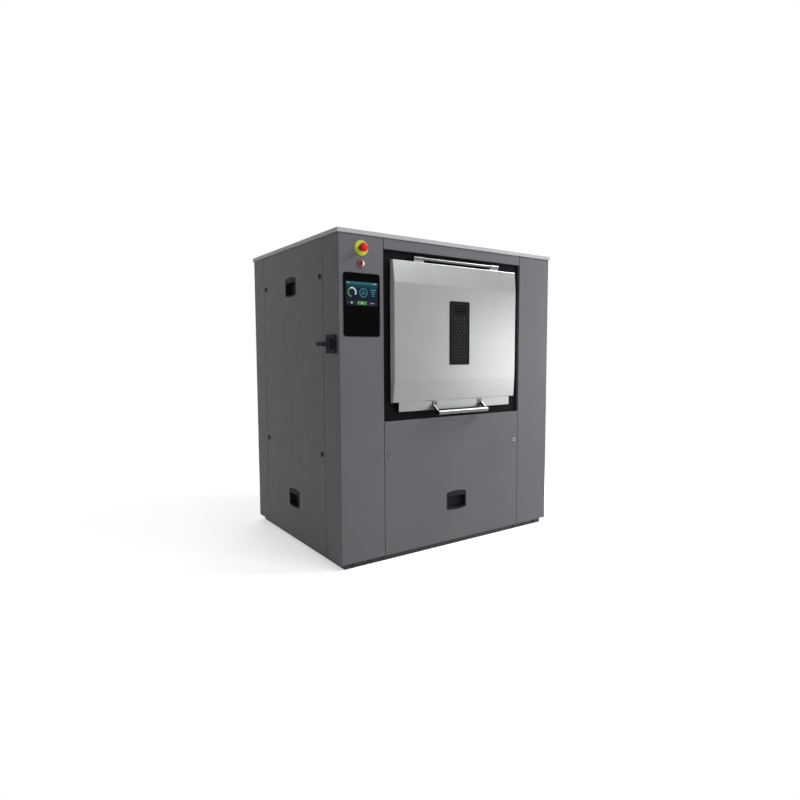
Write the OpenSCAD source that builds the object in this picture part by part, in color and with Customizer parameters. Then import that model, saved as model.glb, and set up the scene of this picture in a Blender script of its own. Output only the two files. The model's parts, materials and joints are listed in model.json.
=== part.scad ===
// Barrier washer: a pass-through washing machine with a loading door at the
// front (-Y) and an unloading door at the rear (+Y). The drum turns about X.
// Millimetres, Z up, origin on the floor under the middle of the cabinet.

/* [Cabinet] */
// Width over the corner panels
body_w = 1430; // [1400:5:1500]
// Depth from the loading front to the unloading front
body_d = 1130; // [1110:5:1200]
// Height of the panels, from plinth to lid
body_h = 1600; // [1580:5:1700]
// Height of the plinth that shows below the panels
plinth_h = 30; // [25:1:45]
// Thickness of the panel sheet
sheet = 2; // [1.5:0.5:3]
// Height of the lid tray
lid_h = 20; // [16:1:30]
// Overhang of the lid past the panels
lid_over = 5; // [3:1:8]
// Width of a corner panel on the front
column_w = 248; // [240:1:260]
// Depth of a corner panel on the side
side_column = 166; // [160:1:175]
// Width of the seam between two panels
seam = 3; // [2:0.5:4]
// Bend radius of the corner panels
bend_r = 5; // [4:0.5:8]
// Height of the strip between the door recess and the lid
header_h = 53; // [50:1:58]
// Height of the black door recess
recess_h = 857; // [850:1:870]
// Depth of the door recess behind the front
recess_depth = 17; // [14:1:18]

/* [Base and inner frame] */
// Height of the base rails
rail_h = 100; // [90:5:110]
// Width of the base rails
rail_w = 60; // [55:1:70]
// Wall of the base channel section
rail_wall = 6; // [5:1:8]
// Inset of the base behind the front and rear panels
base_inset_y = 20; // [18:1:22]
// Inset of the base behind the side panels
base_inset_x = 25; // [23:1:27]
// Side of a corner post
post = 40; // [35:1:45]
// Width of a door jamb or a side jamb
jamb_w = 20; // [18:1:22]
// Depth of a door jamb or a side jamb
jamb_d = 25; // [22:1:28]
// Height of the top rails
top_rail_h = 38; // [34:1:40]
// Width of a cross beam of the base
beam_w = 130; // [120:5:140]
// Height of an air spring, above its pedestal
spring_h = 150; // [140:5:165]
// Radius of a floor anchor hole
anchor_r = 9; // [7:0.5:10]
// Distance of an anchor hole from the outer corner of the base
anchor_inset = 100; // [90:5:120]

/* [Doors] */
// Width of the door skin
door_w = 850; // [840:1:860]
// Height of the door skin
door_h = 716; // [710:1:720]
// Gap between the recess top and the door skin
door_top_gap = 47; // [44:1:50]
// How far the skin's top and bottom stand in front of the cabinet
skin_edge = 11.5; // [10:0.5:13]
// How far the skin's middle band stands in front of the cabinet
skin_mid = 21; // [18:0.5:24]
// How far the skin reaches behind the cabinet front
skin_back = 8; // [6:0.5:9]
// Height of the sloping band at the skin's top and bottom
fold_h = 113; // [100:1:125]
// Slope of the skin's side walls
skin_draft = 7; // [5:0.5:9]
// Width of the door body that plugs the mouth
plug_w = 768; // [760:1:776]
// Height of the door body
plug_h = 758; // [754:1:760]
// Depth of the door body behind the cabinet front
plug_back = 41; // [38:1:43]
// How far the door body stands in front of the cabinet
plug_front = 7; // [6:0.5:8]
// Clearance between the door body and the recess opening
plug_gap = 4; // [3:0.5:5]
// Diameter of the hinge bar
hinge_d = 16; // [14:1:18]
// Length of the hinge bar
hinge_len = 584; // [570:2:600]
// Height of the hinge bar above the skin
hinge_rise = 19; // [18:0.5:20]
// How far the hinge bar stands in front of the cabinet
hinge_out = 3; // [2:0.5:4]
// Length of a hinge knuckle
knuckle_len = 62; // [50:1:70]
// Diameter of the pull bar
bar_d = 25; // [22:1:28]
// Length of the pull bar
bar_len = 342; // [320:2:360]
// How far the pull bar stands in front of the cabinet
bar_out = 57; // [52:1:62]
// Drop of the pull bar below the door body
bar_drop = 12; // [10:1:13]
// Thickness of a pull bar arm
arm_t = 8; // [6:1:10]
// Width of the black grip plate
grip_w = 130; // [120:1:140]
// Height of the black grip plate
grip_h = 339; // [320:1:360]
// How far the grip plate stands on the skin
grip_t = 6; // [5:0.5:8]

/* [Controls] */
// Distance of the control column's middle from the cabinet side
control_x = 125; // [120:1:130]
// Width of the control glass
glass_w = 200; // [190:1:206]
// Height of the control glass
glass_h = 303; // [290:1:315]
// Distance from the panel top to the control glass
glass_drop = 182; // [178:1:190]
// How far the control glass stands proud
glass_t = 3; // [2:0.5:5]
// Width of the touch screen
screen_w = 173; // [165:1:178]
// Height of the touch screen
screen_h = 114; // [108:1:120]
// Distance from the glass top to the screen
screen_drop = 42; // [38:1:48]
// Diameter of the yellow plate
stop_plate_d = 73; // [68:1:76]
// Diameter of the red mushroom
stop_d = 42; // [38:1:45]
// Distance from the panel top to the emergency stop
stop_drop = 63; // [60:1:66]
// Distance from the panel top to the selector
selector_drop = 136; // [132:1:140]
// Diameter of the selector ring
selector_d = 39; // [36:1:42]
// Width of the main switch plate
switch_w = 92; // [86:1:96]
// Distance of the main switch from the front
switch_y = 72; // [68:1:80]
// Height of the main switch above the panel bottom
switch_z = 1079; // [1050:1:1100]
// How far the main switch handle stands out
switch_out = 68; // [62:1:70]

/* [Panel fittings] */
// Distance of a quarter-turn lock from the panel edge
lock_inset = 31; // [30:0.5:33]
// Height of the lower locks above the panel bottom
lock_z = 523; // [500:1:550]
// Distance of the upper locks from the panel top
lock_drop = 187; // [180:1:200]
// Diameter of the lock head
lock_d = 26; // [24:1:28]
// Width of a handle cup
cup_w = 136; // [128:1:142]
// Height of a handle cup at its middle
cup_h = 106; // [98:1:112]
// Depth of a handle cup behind the panel
cup_depth = 32; // [28:1:36]
// Height of the lower cups above the panel bottom
cup_z = 222; // [210:1:240]
// Distance of the upper cup from the panel top
cup_drop = 206; // [196:1:220]
// Radius of a cabinet screw head
screw_r = 8; // [7:0.5:9]
// Height of a door lock box
lock_box_h = 110; // [100:2:120]
// Width of the electrical box
box_w = 460; // [440:5:480]
// Height of the electrical box
box_h = 540; // [520:5:560]
// Depth of the electrical box
box_d = 120; // [110:2:130]

/* [Tub and drum] */
// Outer radius of the tub
tub_r = 455; // [448:1:457]
// Length of the tub
tub_len = 800; // [790:5:820]
// Wall of the tub
tub_wall = 3; // [2.5:0.5:4]
// Drop of the drum axis below the middle of the door body
axis_drop = 35; // [32:1:38]
// How far the door body laps past the tub mouth at each side
mouth_lap = 44; // [39:1:54]
// Height of the tub mouth
mouth_h = 520; // [500:2:530]
// Length of the neck in front of the tub
neck_out = 25; // [24:1:28]
// Radial gap between the drum and the tub
drum_gap = 34; // [32:1:38]
// Gap between the drum end and the tub end
drum_side_gap = 22; // [20:1:26]
// Wall of the drum
drum_wall = 3; // [2:0.5:4]
// Width of the drum opening
hatch_w = 560; // [540:2:580]
// Half angle of the drum opening
hatch_a = 30; // [28:0.5:31]
// Height of a lifter
lifter_h = 70; // [60:1:80]
// Radius of a drain hole in the drum
hole_r = 7; // [5:0.5:8]
// Rows of drain holes along the drum
hole_rows = 7; // [5:1:8]
// Radius of the drum shaft
shaft_r = 35; // [32:1:38]
// Radius of the drum pulley
pulley_r = 300; // [280:2:304]
// Radius of the motor pulley
motor_pulley_r = 60; // [54:1:66]
// Width of both pulleys
pulley_w = 60; // [54:1:64]
// Radius of the motor
motor_r = 105; // [98:1:108]
// Drop of the motor axis below the drum axis
motor_drop = 590; // [586:1:594]
// Thickness of a tub rib
rib_t = 12; // [10:1:14]
// Distance of a tub rib from the middle
rib_x = 250; // [246:1:254]
// Drop of the tub feet below the drum axis
foot_drop = 690; // [682:2:698]
// Distance of an air spring from the middle
spring_y = 300; // [292:2:308]
// Distance of a damper from the middle
damper_y = 180; // [176:1:184]
// How far the pulleys stand from the tub end
shaft_out = 140; // [136:1:142]
// Radius of the drain pipe
drain_r = 37.5; // [35:0.5:40]
// Drop of the drain pipe below the drum axis
drain_drop = 770; // [764:2:776]
// Distance of the drain valve from the middle
drain_off = 120; // [110:2:130]
// Radius of a water connection
inlet_r = 16.5; // [14:0.5:16.5]
// Spacing of the water connections
inlet_pitch = 42; // [42:0.5:43]
// Distance of the water manifold from the middle
water_y = 278; // [275:1:280]
// Height of the water manifold above the drum axis
water_rise = 260; // [256:1:264]
// Radius of the water pipe to the tub
water_pipe_r = 25; // [22:1:28]
// Depth of the water manifold
manifold_d = 40; // [36:1:44]

/* [Hidden] */
$fn = 48;
fit = 0.3;
run = 0.05;
eps = 1;
y_front = -body_d / 2;
x_side = body_w / 2;
z_low = plinth_h;
z_top = z_low + body_h;
seam_x = x_side - column_w;
seam_y = body_d / 2 - side_column;
recess_top = z_top - header_h;
recess_low = recess_top - recess_h;
recess_y = y_front + recess_depth;
base_x = x_side - base_inset_x;
base_y = body_d / 2 - base_inset_y;
flange_y = base_inset_y - fit;
flange_x = base_inset_x - fit;
frame_top = z_top - sheet;
rail_z = frame_top - top_rail_h;
door_top = recess_top - door_top_gap;
door_low = door_top - door_h;
door_mid = (door_top + door_low) / 2;
plug_top = door_top - 6;
plug_low = plug_top - plug_h;
plug_y = y_front + plug_back;
hinge_y = y_front - hinge_out;
hinge_z = door_top + hinge_rise;
hinge_r = hinge_d / 2;
knuckle_r = hinge_r + 2.5;
knuckle_x = hinge_len / 2 - knuckle_len - 2;
saddle_x = knuckle_x - 50;
bar_y = y_front - bar_out;
bar_z = plug_low - bar_drop;
hole_x = plug_w / 2 + plug_gap;
hole_top = plug_top + plug_gap;
hole_low = plug_low - plug_gap;
ledge_y = plug_y + 16;
axis_z = (plug_top + plug_low) / 2 - axis_drop;
mouth_y = -tub_r - neck_out;
drum_r = tub_r - tub_wall - drum_gap;
drum_x = tub_len / 2 - tub_wall - drum_side_gap;
foot_z = axis_z - foot_drop;
pedestal_h = foot_z - rail_h - spring_h;
mouth_w = plug_w - 2 * mouth_lap;
pulley_x = tub_len / 2 + shaft_out;
pulley_end = pulley_x + pulley_w;
motor_z = axis_z - motor_drop;
housing_x = tub_len / 2 + shaft_out / 2;
side_out = switch_out;
drain_x = -drain_off;
drain_z = axis_z - drain_drop;
water_z = axis_z + water_rise;
manifold_x = base_x - jamb_d - fit - manifold_d;
stub_z = axis_z - tub_r - 30;
valve_top = stub_z - 20;
control_cx = -x_side + control_x;
glass_z = z_top - glass_drop - glass_h;
stop_z = z_top - stop_drop;
selector_z = z_top - selector_drop;
main_z = z_low + switch_z;
main_y = y_front + switch_y;
lock_x = seam_x - seam / 2 - lock_inset;
lock_y = seam_y - seam / 2 - lock_inset;
lock_low = z_low + lock_z;
lock_high = z_top - lock_drop;
box_z = (lock_low + lock_high) / 2;
stem_r = 8;

// A box given by its low and high corners
module span(a, b) {
    translate(a) cube([b[0] - a[0], b[1] - a[1], b[2] - a[2]]);
}

// A copy at the front and its mirror image at the rear
module both_fronts() {
    children();
    mirror([0, 1, 0]) children();
}

// A copy on the right and its mirror image on the left
module both_sides() {
    children();
    mirror([1, 0, 0]) children();
}

// A cylinder along X between two places
module rod_x(x0, x1, r) {
    translate([x0, 0, 0]) rotate([0, 90, 0]) cylinder(h = x1 - x0, r = r);
}

// A cylinder along Y between two places
module rod_y(y0, y1, r) {
    translate([0, y0, 0]) rotate([-90, 0, 0]) cylinder(h = y1 - y0, r = r);
}

// A rectangle with round corners about the origin
module round_rect(w, h, r) {
    square([w - 2 * r, h], center = true);
    square([w, h - 2 * r], center = true);
    for (sx = [-1, 1], sy = [-1, 1])
        translate([sx * (w / 2 - r), sy * (h / 2 - r)]) circle(r);
}

// A rectangle whose top and bottom edges are shallow arches
module arched_rect(w, h, rise) {
    arch_r = (w * w / 4 + rise * rise) / (2 * rise);
    intersection() {
        square([w, h], center = true);
        translate([0, h / 2 - arch_r]) circle(arch_r, $fn = 96);
        translate([0, arch_r - h / 2]) circle(arch_r, $fn = 96);
    }
}

// Turns a drawing in X and Z into a plate that starts at y and runs back
module plate_xz(y, t) {
    translate([0, y + t, 0]) rotate([90, 0, 0]) linear_extrude(t) children();
}

// Turns a drawing in Y and Z into a plate that starts at x and runs right
module plate_yz(x, t) {
    translate([x, 0, 0]) rotate([90, 0, 90]) linear_extrude(t) children();
}

// Base: a welded ring of C-channel with two cross beams and spring pedestals
module base_frame() {
    color([0.07, 0.07, 0.08]) difference() {
        union() {
            difference() {
                span([-base_x, -base_y, 0], [base_x, base_y, rail_h]);
                span([rail_w - base_x, rail_w - base_y, -eps], [base_x - rail_w, base_y - rail_w, rail_h + eps]);
                span([rail_wall - base_x, rail_wall - base_y, rail_wall],
                    [base_x - rail_wall, base_y - rail_wall, rail_h - rail_wall]);
            }
            both_sides() base_beam();
        }
        for (sx = [-1, 1], sy = [-1, 1])
            translate([sx * (base_x - anchor_inset), sy * (base_y - rail_w / 2), -eps])
                cylinder(h = rail_wall + 2 * eps, r = anchor_r);
        for (sx = [-1, 1], sy = [-1, 1])
            translate([sx * (base_x - anchor_inset), sy * (base_y - rail_w / 2), rail_h - rail_wall - eps])
                cylinder(h = rail_wall + 2 * eps, r = anchor_r * 2);
    }
}

// One cross beam, open below, with its two pedestals
module base_beam() {
    translate([rib_x, 0, 0]) difference() {
        union() {
            span([-beam_w / 2, rail_w - base_y, 0], [beam_w / 2, base_y - rail_w, rail_h]);
            both_fronts() span([-beam_w / 2, spring_y - beam_w / 2, rail_h],
                [beam_w / 2, spring_y + beam_w / 2, rail_h + pedestal_h]);
        }
        span([rail_wall - beam_w / 2, rail_w - base_y - eps, -eps],
            [beam_w / 2 - rail_wall, base_y - rail_w + eps, rail_h - rail_wall]);
        both_fronts() span([rail_wall - beam_w / 2, spring_y - beam_w / 2 + rail_wall, rail_h - rail_wall - eps],
            [beam_w / 2 - rail_wall, spring_y + beam_w / 2 - rail_wall, rail_h + pedestal_h - rail_wall]);
    }
}

// Inner frame: corner posts, door jambs, side jambs and top rails
module upper_frame() {
    color([0.45, 0.46, 0.48]) {
        both_sides() both_fronts() {
            span([base_x - post, base_y - post, rail_h], [base_x, base_y, rail_z - fit]);
            span([seam_x - jamb_w - 1, base_y - jamb_d, rail_h], [seam_x - 1, base_y, rail_z - fit]);
            span([base_x - jamb_d, seam_y - jamb_w - 1, rail_h], [base_x, seam_y - 1, rail_z - fit]);
        }
        both_sides() span([base_x - post, -base_y, rail_z], [base_x, base_y, frame_top]);
        both_fronts() span([post - base_x + fit, base_y - post, rail_z], [base_x - post - fit, base_y, frame_top]);
    }
}

// Lid: a folded tray, open below, that rests on the panels and top rails
module lid() {
    lx = x_side + lid_over;
    ly = body_d / 2 + lid_over;
    color([0.62, 0.63, 0.64]) difference() {
        span([-lx, -ly, z_top], [lx, ly, z_top + lid_h]);
        span([sheet - lx, sheet - ly, z_top + sheet], [lx - sheet, ly - sheet, z_top + lid_h - sheet]);
        span([rail_w - base_x, rail_w - base_y, z_top - eps], [base_x - rail_w, base_y - rail_w, z_top + lid_h / 2]);
    }
}

// Outline of a corner panel seen from above: two leaves, a round bend and returns
module corner_outline() {
    w = column_w - seam / 2;
    d = side_column - seam / 2;
    translate([bend_r, 0]) square([w - bend_r, sheet]);
    translate([0, bend_r]) square([sheet, d - bend_r]);
    intersection() {
        square([bend_r, bend_r]);
        translate([bend_r, bend_r]) difference() {
            circle(bend_r);
            circle(bend_r - sheet);
        }
    }
    translate([w - sheet, 0]) square([sheet, flange_y]);
    translate([0, d - sheet]) square([flange_x, sheet]);
}

// Flat ledge of a corner panel, at its top and bottom
module corner_ledge() {
    translate([sheet, sheet]) difference() {
        square([column_w - seam / 2 - sheet, side_column - seam / 2 - sheet]);
        translate([flange_x - sheet, flange_y - sheet]) square([column_w, side_column]);
    }
}

// Corner panel of the front left corner, without its cut-outs
module corner_shell() {
    translate([-x_side, y_front, z_low]) {
        linear_extrude(body_h) corner_outline();
        linear_extrude(sheet) corner_ledge();
        translate([0, 0, body_h - sheet]) linear_extrude(sheet) corner_ledge();
    }
}

module panel_grey() {
    color([0.36, 0.36, 0.38]) children();
}

module corner_panel_front_left() {
    panel_grey() difference() {
        corner_shell();
        translate([control_cx, 0, stop_z]) rod_y(y_front - eps, y_front + 2 * sheet, stem_r + 3);
        translate([control_cx, 0, selector_z]) rod_y(y_front - eps, y_front + 2 * sheet, stem_r + 3);
        translate([0, main_y, main_z]) rod_x(-x_side - eps, 2 * sheet - x_side, stem_r + 3);
        plate_xz(y_front - eps, 2 * sheet + eps) translate([control_cx, glass_z + glass_h / 2])
            square([glass_w - 16, glass_h - 16], center = true);
    }
}

module corner_panel_front_right() {
    panel_grey() mirror([1, 0, 0]) corner_shell();
}

module corner_panel_rear_left() {
    panel_grey() difference() {
        mirror([0, 1, 0]) corner_shell();
        translate([control_cx, 0, stop_z]) rod_y(-y_front - 2 * sheet, eps - y_front, stem_r + 3);
    }
}

module corner_panel_rear_right() {
    panel_grey() mirror([1, 0, 0]) mirror([0, 1, 0]) corner_shell();
}

// Header strips: folded strips between the door recess and the lid
module header_strips() {
    hx = seam_x - seam / 2;
    panel_grey() both_fronts() difference() {
        span([-hx, y_front, recess_top], [hx, y_front + base_inset_y - fit, z_top]);
        span([sheet - hx, y_front + sheet, recess_top + sheet], [hx - sheet, 0, z_top - sheet]);
    }
}

// Black door surrounds: a plate with a deep return and a ledge round the mouth
module door_surrounds() {
    sx = seam_x - 1 - fit;
    color([0.03, 0.03, 0.035]) both_fronts() difference() {
        union() {
            span([-sx, recess_y, recess_low], [sx, recess_y + sheet, recess_top - fit]);
            span([-hole_x - sheet, recess_y, hole_low - sheet], [hole_x + sheet, ledge_y + sheet, hole_top + sheet]);
            both_sides() saddle();
        }
        span([-hole_x, recess_y - eps, hole_low], [hole_x, ledge_y, hole_top]);
        span([-mouth_w / 2, recess_y, axis_z - mouth_h / 2], [mouth_w / 2, 0, axis_z + mouth_h / 2]);
        translate([0, hinge_y, hinge_z]) rod_x(-hinge_len, hinge_len, hinge_r + run);
    }
}

// Saddle that holds the hinge bar from behind
module saddle() {
    span([saddle_x, hinge_y + 1, hinge_z - knuckle_r], [saddle_x + 40, recess_y + sheet, hinge_z + knuckle_r]);
}

// A flat panel with returns, seen along Y, from the panel's own middle
module tray_front(z0, z1, holes) {
    hx = seam_x - seam / 2;
    difference() {
        span([-hx, y_front, z0], [hx, y_front + flange_y, z1]);
        span([sheet - hx, y_front + sheet, z0 + sheet], [hx - sheet, 0, z1 - sheet]);
        for (p = holes) translate([p[0], 0, p[1]]) rod_y(y_front - eps, y_front + sheet + eps, p[2]);
    }
}

// A side panel with returns
module tray_side(holes) {
    hy = seam_y - seam / 2;
    difference() {
        span([-x_side, -hy, z_low], [flange_x - x_side, hy, z_top]);
        span([sheet - x_side, sheet - hy, z_low + sheet], [0, hy - sheet, z_top - sheet]);
        for (p = holes) translate([0, p[0], p[1]]) rod_x(-x_side - eps, sheet + eps - x_side, p[2]);
    }
}

module cup_opening() {
    arched_rect(cup_w - 8, cup_h - 8, 8);
}

// Service panel under the loading door
module front_panel() {
    panel_grey() difference() {
        tray_front(z_low, recess_low, [[-lock_x, lock_low, lock_hole_r()], [lock_x, lock_low, lock_hole_r()]]);
        plate_xz(y_front - eps, 3 * sheet) translate([0, z_low + cup_z]) cup_opening();
    }
}

// Service panel under the unloading door, held by screws
module rear_panel() {
    panel_grey() mirror([0, 1, 0]) tray_front(z_low, recess_low, []);
}

module side_panel_left() {
    panel_grey() difference() {
        tray_side([for (sy = [-1, 1], z = [lock_low, lock_high]) [sy * lock_y, z, lock_hole_r()]]);
        for (z = [z_low + cup_z, z_top - cup_drop])
            plate_yz(-x_side - eps, 3 * sheet) translate([0, z]) cup_opening();
    }
}

// Right side panel, with the holes of the connections
module side_panel_right() {
    panel_grey() mirror([1, 0, 0])
        tray_side(concat([[0, drain_z, drain_r + 1], [-water_y, water_z, 12.5]],
            [for (i = [-1:2]) [water_y + inlet_pitch * i, water_z, inlet_r + 1]]));
}

function lock_hole_r() = lock_d / 2 - 2.5;

// One handle cup in its own place: flange, pocket and a lip over its upper part
module handle_cup() {
    wall = 2.5;
    difference() {
        union() {
            plate_xz(-2, 2 - fit / 2) arched_rect(cup_w, cup_h, 8);
            plate_xz(-2, cup_depth + 2) arched_rect(cup_w - 9, cup_h - 9, 8);
        }
        plate_xz(wall, cup_depth - 2 * wall) arched_rect(cup_w - 9 - 2 * wall, cup_h - 9 - 2 * wall, 8);
        plate_xz(-2 - eps, cup_depth / 2) intersection() {
            arched_rect(cup_w - 9 - 2 * wall, cup_h - 9 - 2 * wall, 8);
            translate([-cup_w / 2, -cup_h / 2]) square([cup_w, cup_h * 0.72]);
        }
    }
}

module handle_cups() {
    color([0.05, 0.05, 0.055]) {
        translate([0, y_front, z_low + cup_z]) handle_cup();
        for (z = [z_low + cup_z, z_top - cup_drop])
            translate([-x_side, 0, z]) rotate([0, 0, -90]) handle_cup();
    }
}

// Hexagon screws of the plinth, the rear panel and the right side panel
module cabinet_screws() {
    hx = seam_x - seam / 2 - 20;
    hy = seam_y - seam / 2 - 20;
    color([0.16, 0.16, 0.17]) {
        both_sides() both_fronts() for (x = [465, 540, 640])
            translate([x, base_y, 12]) rotate([-90, 0, 0]) cylinder(h = 6, r = screw_r, $fn = 6);
        for (x = [-hx, 0, hx], z = [z_low + 20, recess_low - 20])
            translate([x, -y_front, z]) rotate([-90, 0, 0]) cylinder(h = 5, r = screw_r, $fn = 6);
        for (y = [-hy, 0, hy], z = [z_low + 20, z_top - 20])
            translate([x_side, y, z]) rotate([0, 90, 0]) cylinder(h = 5, r = screw_r, $fn = 6);
    }
}

// A quarter-turn lock along Y: head, barrel, shaft and the cam behind the jamb
module quarter_lock(inset) {
    reach = inset + jamb_d + 3;
    difference() {
        union() {
            rod_y(-3, 0, lock_d / 2);
            rod_y(0, inset, lock_hole_r() - run);
            rod_y(inset, reach + 4, 7);
            span([-8, reach, -8], [lock_inset - 2, reach + 3.5, 8]);
        }
        rod_y(-3 - eps, -1, 5.5);
    }
}

module lock_front_left() {
    color("silver") translate([-lock_x, y_front, lock_low]) mirror([1, 0, 0]) quarter_lock(base_inset_y);
}

module lock_front_right() {
    color("silver") translate([lock_x, y_front, lock_low]) quarter_lock(base_inset_y);
}

// Lock of the left side panel, nearer the rear or the front, low or high
module side_lock(sy, z) {
    color([0.1, 0.1, 0.11]) translate([-x_side, sy * lock_y, z]) rotate([0, 0, -90])
        mirror([sy > 0 ? 1 : 0, 0, 0]) quarter_lock(base_inset_x);
}

module lock_side_1() { side_lock(-1, lock_low); }
module lock_side_2() { side_lock(1, lock_low); }
module lock_side_3() { side_lock(-1, lock_high); }
module lock_side_4() { side_lock(1, lock_high); }

// Yellow plates of the emergency stops, each with its dark collar
module stop_plates() {
    both_fronts() translate([control_cx, 0, stop_z]) difference() {
        union() {
            color("gold") rod_y(y_front - 2, y_front, stop_plate_d / 2);
            color([0.06, 0.06, 0.06]) rod_y(y_front - 12, y_front + 26, 15);
        }
        rod_y(y_front - 13, y_front + 27, stem_r + run);
        difference() {
            rod_y(y_front, y_front + 27, 16);
            rod_y(y_front - 2, y_front + 28, stem_r + 2.5);
        }
    }
}

// Red mushroom with its stem
module stop_button() {
    r = stop_d / 2;
    translate([control_cx, y_front, stop_z]) rotate([90, 0, 0]) union() {
        translate([0, 0, -18]) cylinder(h = 20 + 20, r = stem_r);
        translate([0, 0, 20]) rotate_extrude()
            polygon([[0, 0], [r - 3, 0], [r, 3], [r, 9], [r - 1.5, 12.5], [r - 5, 15.5], [r - 11, 17.5], [0, 18]]);
    }
}

module stop_button_front() { color("red") stop_button(); }
module stop_button_rear() { color("red") mirror([0, 1, 0]) stop_button(); }

module selector_ring() {
    color([0.3, 0.05, 0.08]) translate([control_cx, 0, selector_z]) difference() {
        union() {
            rod_y(y_front - 7, y_front, selector_d / 2);
            rod_y(y_front - 7, y_front + 24, stem_r + 2.5);
        }
        rod_y(y_front - 8, y_front - 3, selector_d / 2 - 5);
        rod_y(y_front - 8, y_front + 18, stem_r + run);
    }
}

// Round selector: a dished disc with a raised ridge on a stem
module selector_knob() {
    color("white") translate([control_cx, 0, selector_z]) {
        rod_y(y_front - 3 - fit - 4, y_front - 3 - fit, selector_d / 2 - 5.5);
        rod_y(y_front - 4, y_front + 16, stem_r);
        span([-2, y_front - 12, -selector_d / 4], [2, y_front - 5, selector_d / 4]);
    }
}

// Black glass of the control panel with the window of the screen
module control_glass() {
    color([0.02, 0.02, 0.02]) translate([0, 0, glass_z + glass_h / 2]) difference() {
        union() {
            plate_xz(y_front - glass_t, glass_t) translate([control_cx, 0]) round_rect(glass_w, glass_h, 14);
            plate_xz(y_front, 12) translate([control_cx, 0]) square([glass_w - 17, glass_h - 17], center = true);
        }
        plate_xz(y_front - glass_t - eps, glass_t + 7) translate([control_cx, screen_mid()])
            square([screen_w + 2 * run, screen_h + 2 * run], center = true);
    }
}

function screen_mid() = glass_h / 2 - screen_drop - screen_h / 2;

module touch_screen() {
    color([0.1, 0.4, 0.5]) translate([0, 0, glass_z + glass_h / 2]) plate_xz(y_front - glass_t + 0.5, glass_t + 5)
        translate([control_cx, screen_mid()]) square([screen_w, screen_h], center = true);
}

module main_switch_plate() {
    color([0.08, 0.08, 0.09]) translate([0, main_y, main_z]) difference() {
        union() {
            plate_yz(-x_side - 12, 12) round_rect(switch_w, switch_w - 3, 4);
            rod_x(-x_side, 20 - x_side, stem_r + 2.5);
        }
        rod_x(-x_side - 13, 18 - x_side, 5 + run);
    }
}

// Rotary handle of the main switch: disc, grip and shaft
module main_switch_handle() {
    out = -x_side - 12 - fit;
    color([0.1, 0.1, 0.11]) translate([0, main_y, main_z]) {
        rod_x(out - 10, out, 27);
        rod_x(out - 2, 14 - x_side, 5);
        plate_yz(-x_side - switch_out, switch_out - 20) round_rect(62, 20, 6);
    }
}

// Side profile of the door skin, moved in by a wall
module skin_profile(wall) {
    back = wall > 0 ? y_front + skin_back + eps : y_front + skin_back;
    polygon([[back, door_low + wall], [y_front - skin_edge + wall, door_low + wall],
        [y_front - skin_mid + wall, door_low + fold_h], [y_front - skin_mid + wall, door_top - fold_h],
        [y_front - skin_edge + wall, door_top - wall], [back, door_top - wall]]);
}

// Top outline of the door skin, moved in by a wall
module skin_outline(wall) {
    w = door_w / 2 - wall;
    polygon([[-w, 0], [-w, y_front], [skin_draft - w, y_front - skin_mid], [w - skin_draft, y_front - skin_mid],
        [w, y_front], [w, 0]]);
}

module skin_solid(wall) {
    intersection() {
        plate_yz(-door_w / 2, door_w) skin_profile(wall);
        translate([0, 0, door_low - eps]) linear_extrude(door_h + 2 * eps) skin_outline(wall);
    }
}

// Stainless door skin: a tray folded in three bands
module door_skin() {
    difference() {
        skin_solid(0);
        skin_solid(sheet);
        span([-plug_w / 2 - fit, y_front - plug_front - fit, door_low - eps], [plug_w / 2 + fit, 0, door_mid]);
        both_sides() span([knuckle_x - 1, y_front - plug_front - fit, door_mid],
            [knuckle_x + knuckle_len + 1, 0, door_top + eps]);
    }
}

module door_skin_front() { color([0.75, 0.76, 0.77]) door_skin(); }
module door_skin_rear() { color([0.75, 0.76, 0.77]) mirror([0, 1, 0]) door_skin(); }

// Door body: a pan that plugs the mouth, with the two hinge knuckles
module door_body() {
    px = plug_w / 2;
    rim = 40;
    difference() {
        union() {
            span([-px, y_front - plug_front, plug_low], [px, plug_y, plug_top]);
            both_sides() {
                translate([0, hinge_y, hinge_z]) rod_x(knuckle_x, knuckle_x + knuckle_len, knuckle_r);
                span([knuckle_x, y_front - plug_front, plug_top - sheet],
                    [knuckle_x + knuckle_len, y_front + 1, hinge_z]);
            }
        }
        span([sheet - px, y_front - plug_front + sheet, plug_low + sheet], [px - sheet, plug_y - sheet, plug_top - sheet]);
        span([rim - px, y_front - plug_front - eps, door_low + rim / 2], [px - rim, y_front, plug_top - rim]);
        translate([0, hinge_y, hinge_z]) rod_x(-hinge_len, hinge_len, hinge_r + run);
    }
}

module door_body_front() { color([0.7, 0.71, 0.72]) door_body(); }
module door_body_rear() { color([0.7, 0.71, 0.72]) mirror([0, 1, 0]) door_body(); }

// Black grip plate on the door skin, with a raised rim and a finger window
module door_grip() {
    y0 = y_front - skin_mid - grip_t;
    rim = 4;
    translate([0, 0, door_mid]) difference() {
        plate_xz(y0, grip_t) round_rect(grip_w, grip_h, 8);
        plate_xz(y0 - eps, 1.5 + eps) round_rect(grip_w - 2 * rim, grip_h - 2 * rim, 6);
        plate_xz(y0 - eps, grip_t - 1.5 + eps) translate([0, grip_h / 2 - 44]) round_rect(80, 50, 6);
        for (i = [0:13]) for (x = i % 2 == 0 ? [-30, 0, 30] : [-15, 15])
            translate([x, 0, grip_h / 2 - 92 - i * 17]) rod_y(y0 + 0.7, y0 + 3, 2.5);
    }
}

module door_grip_front() { color([0.1, 0.09, 0.11]) door_grip(); }
module door_grip_rear() { color([0.1, 0.09, 0.11]) mirror([0, 1, 0]) door_grip(); }

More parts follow.
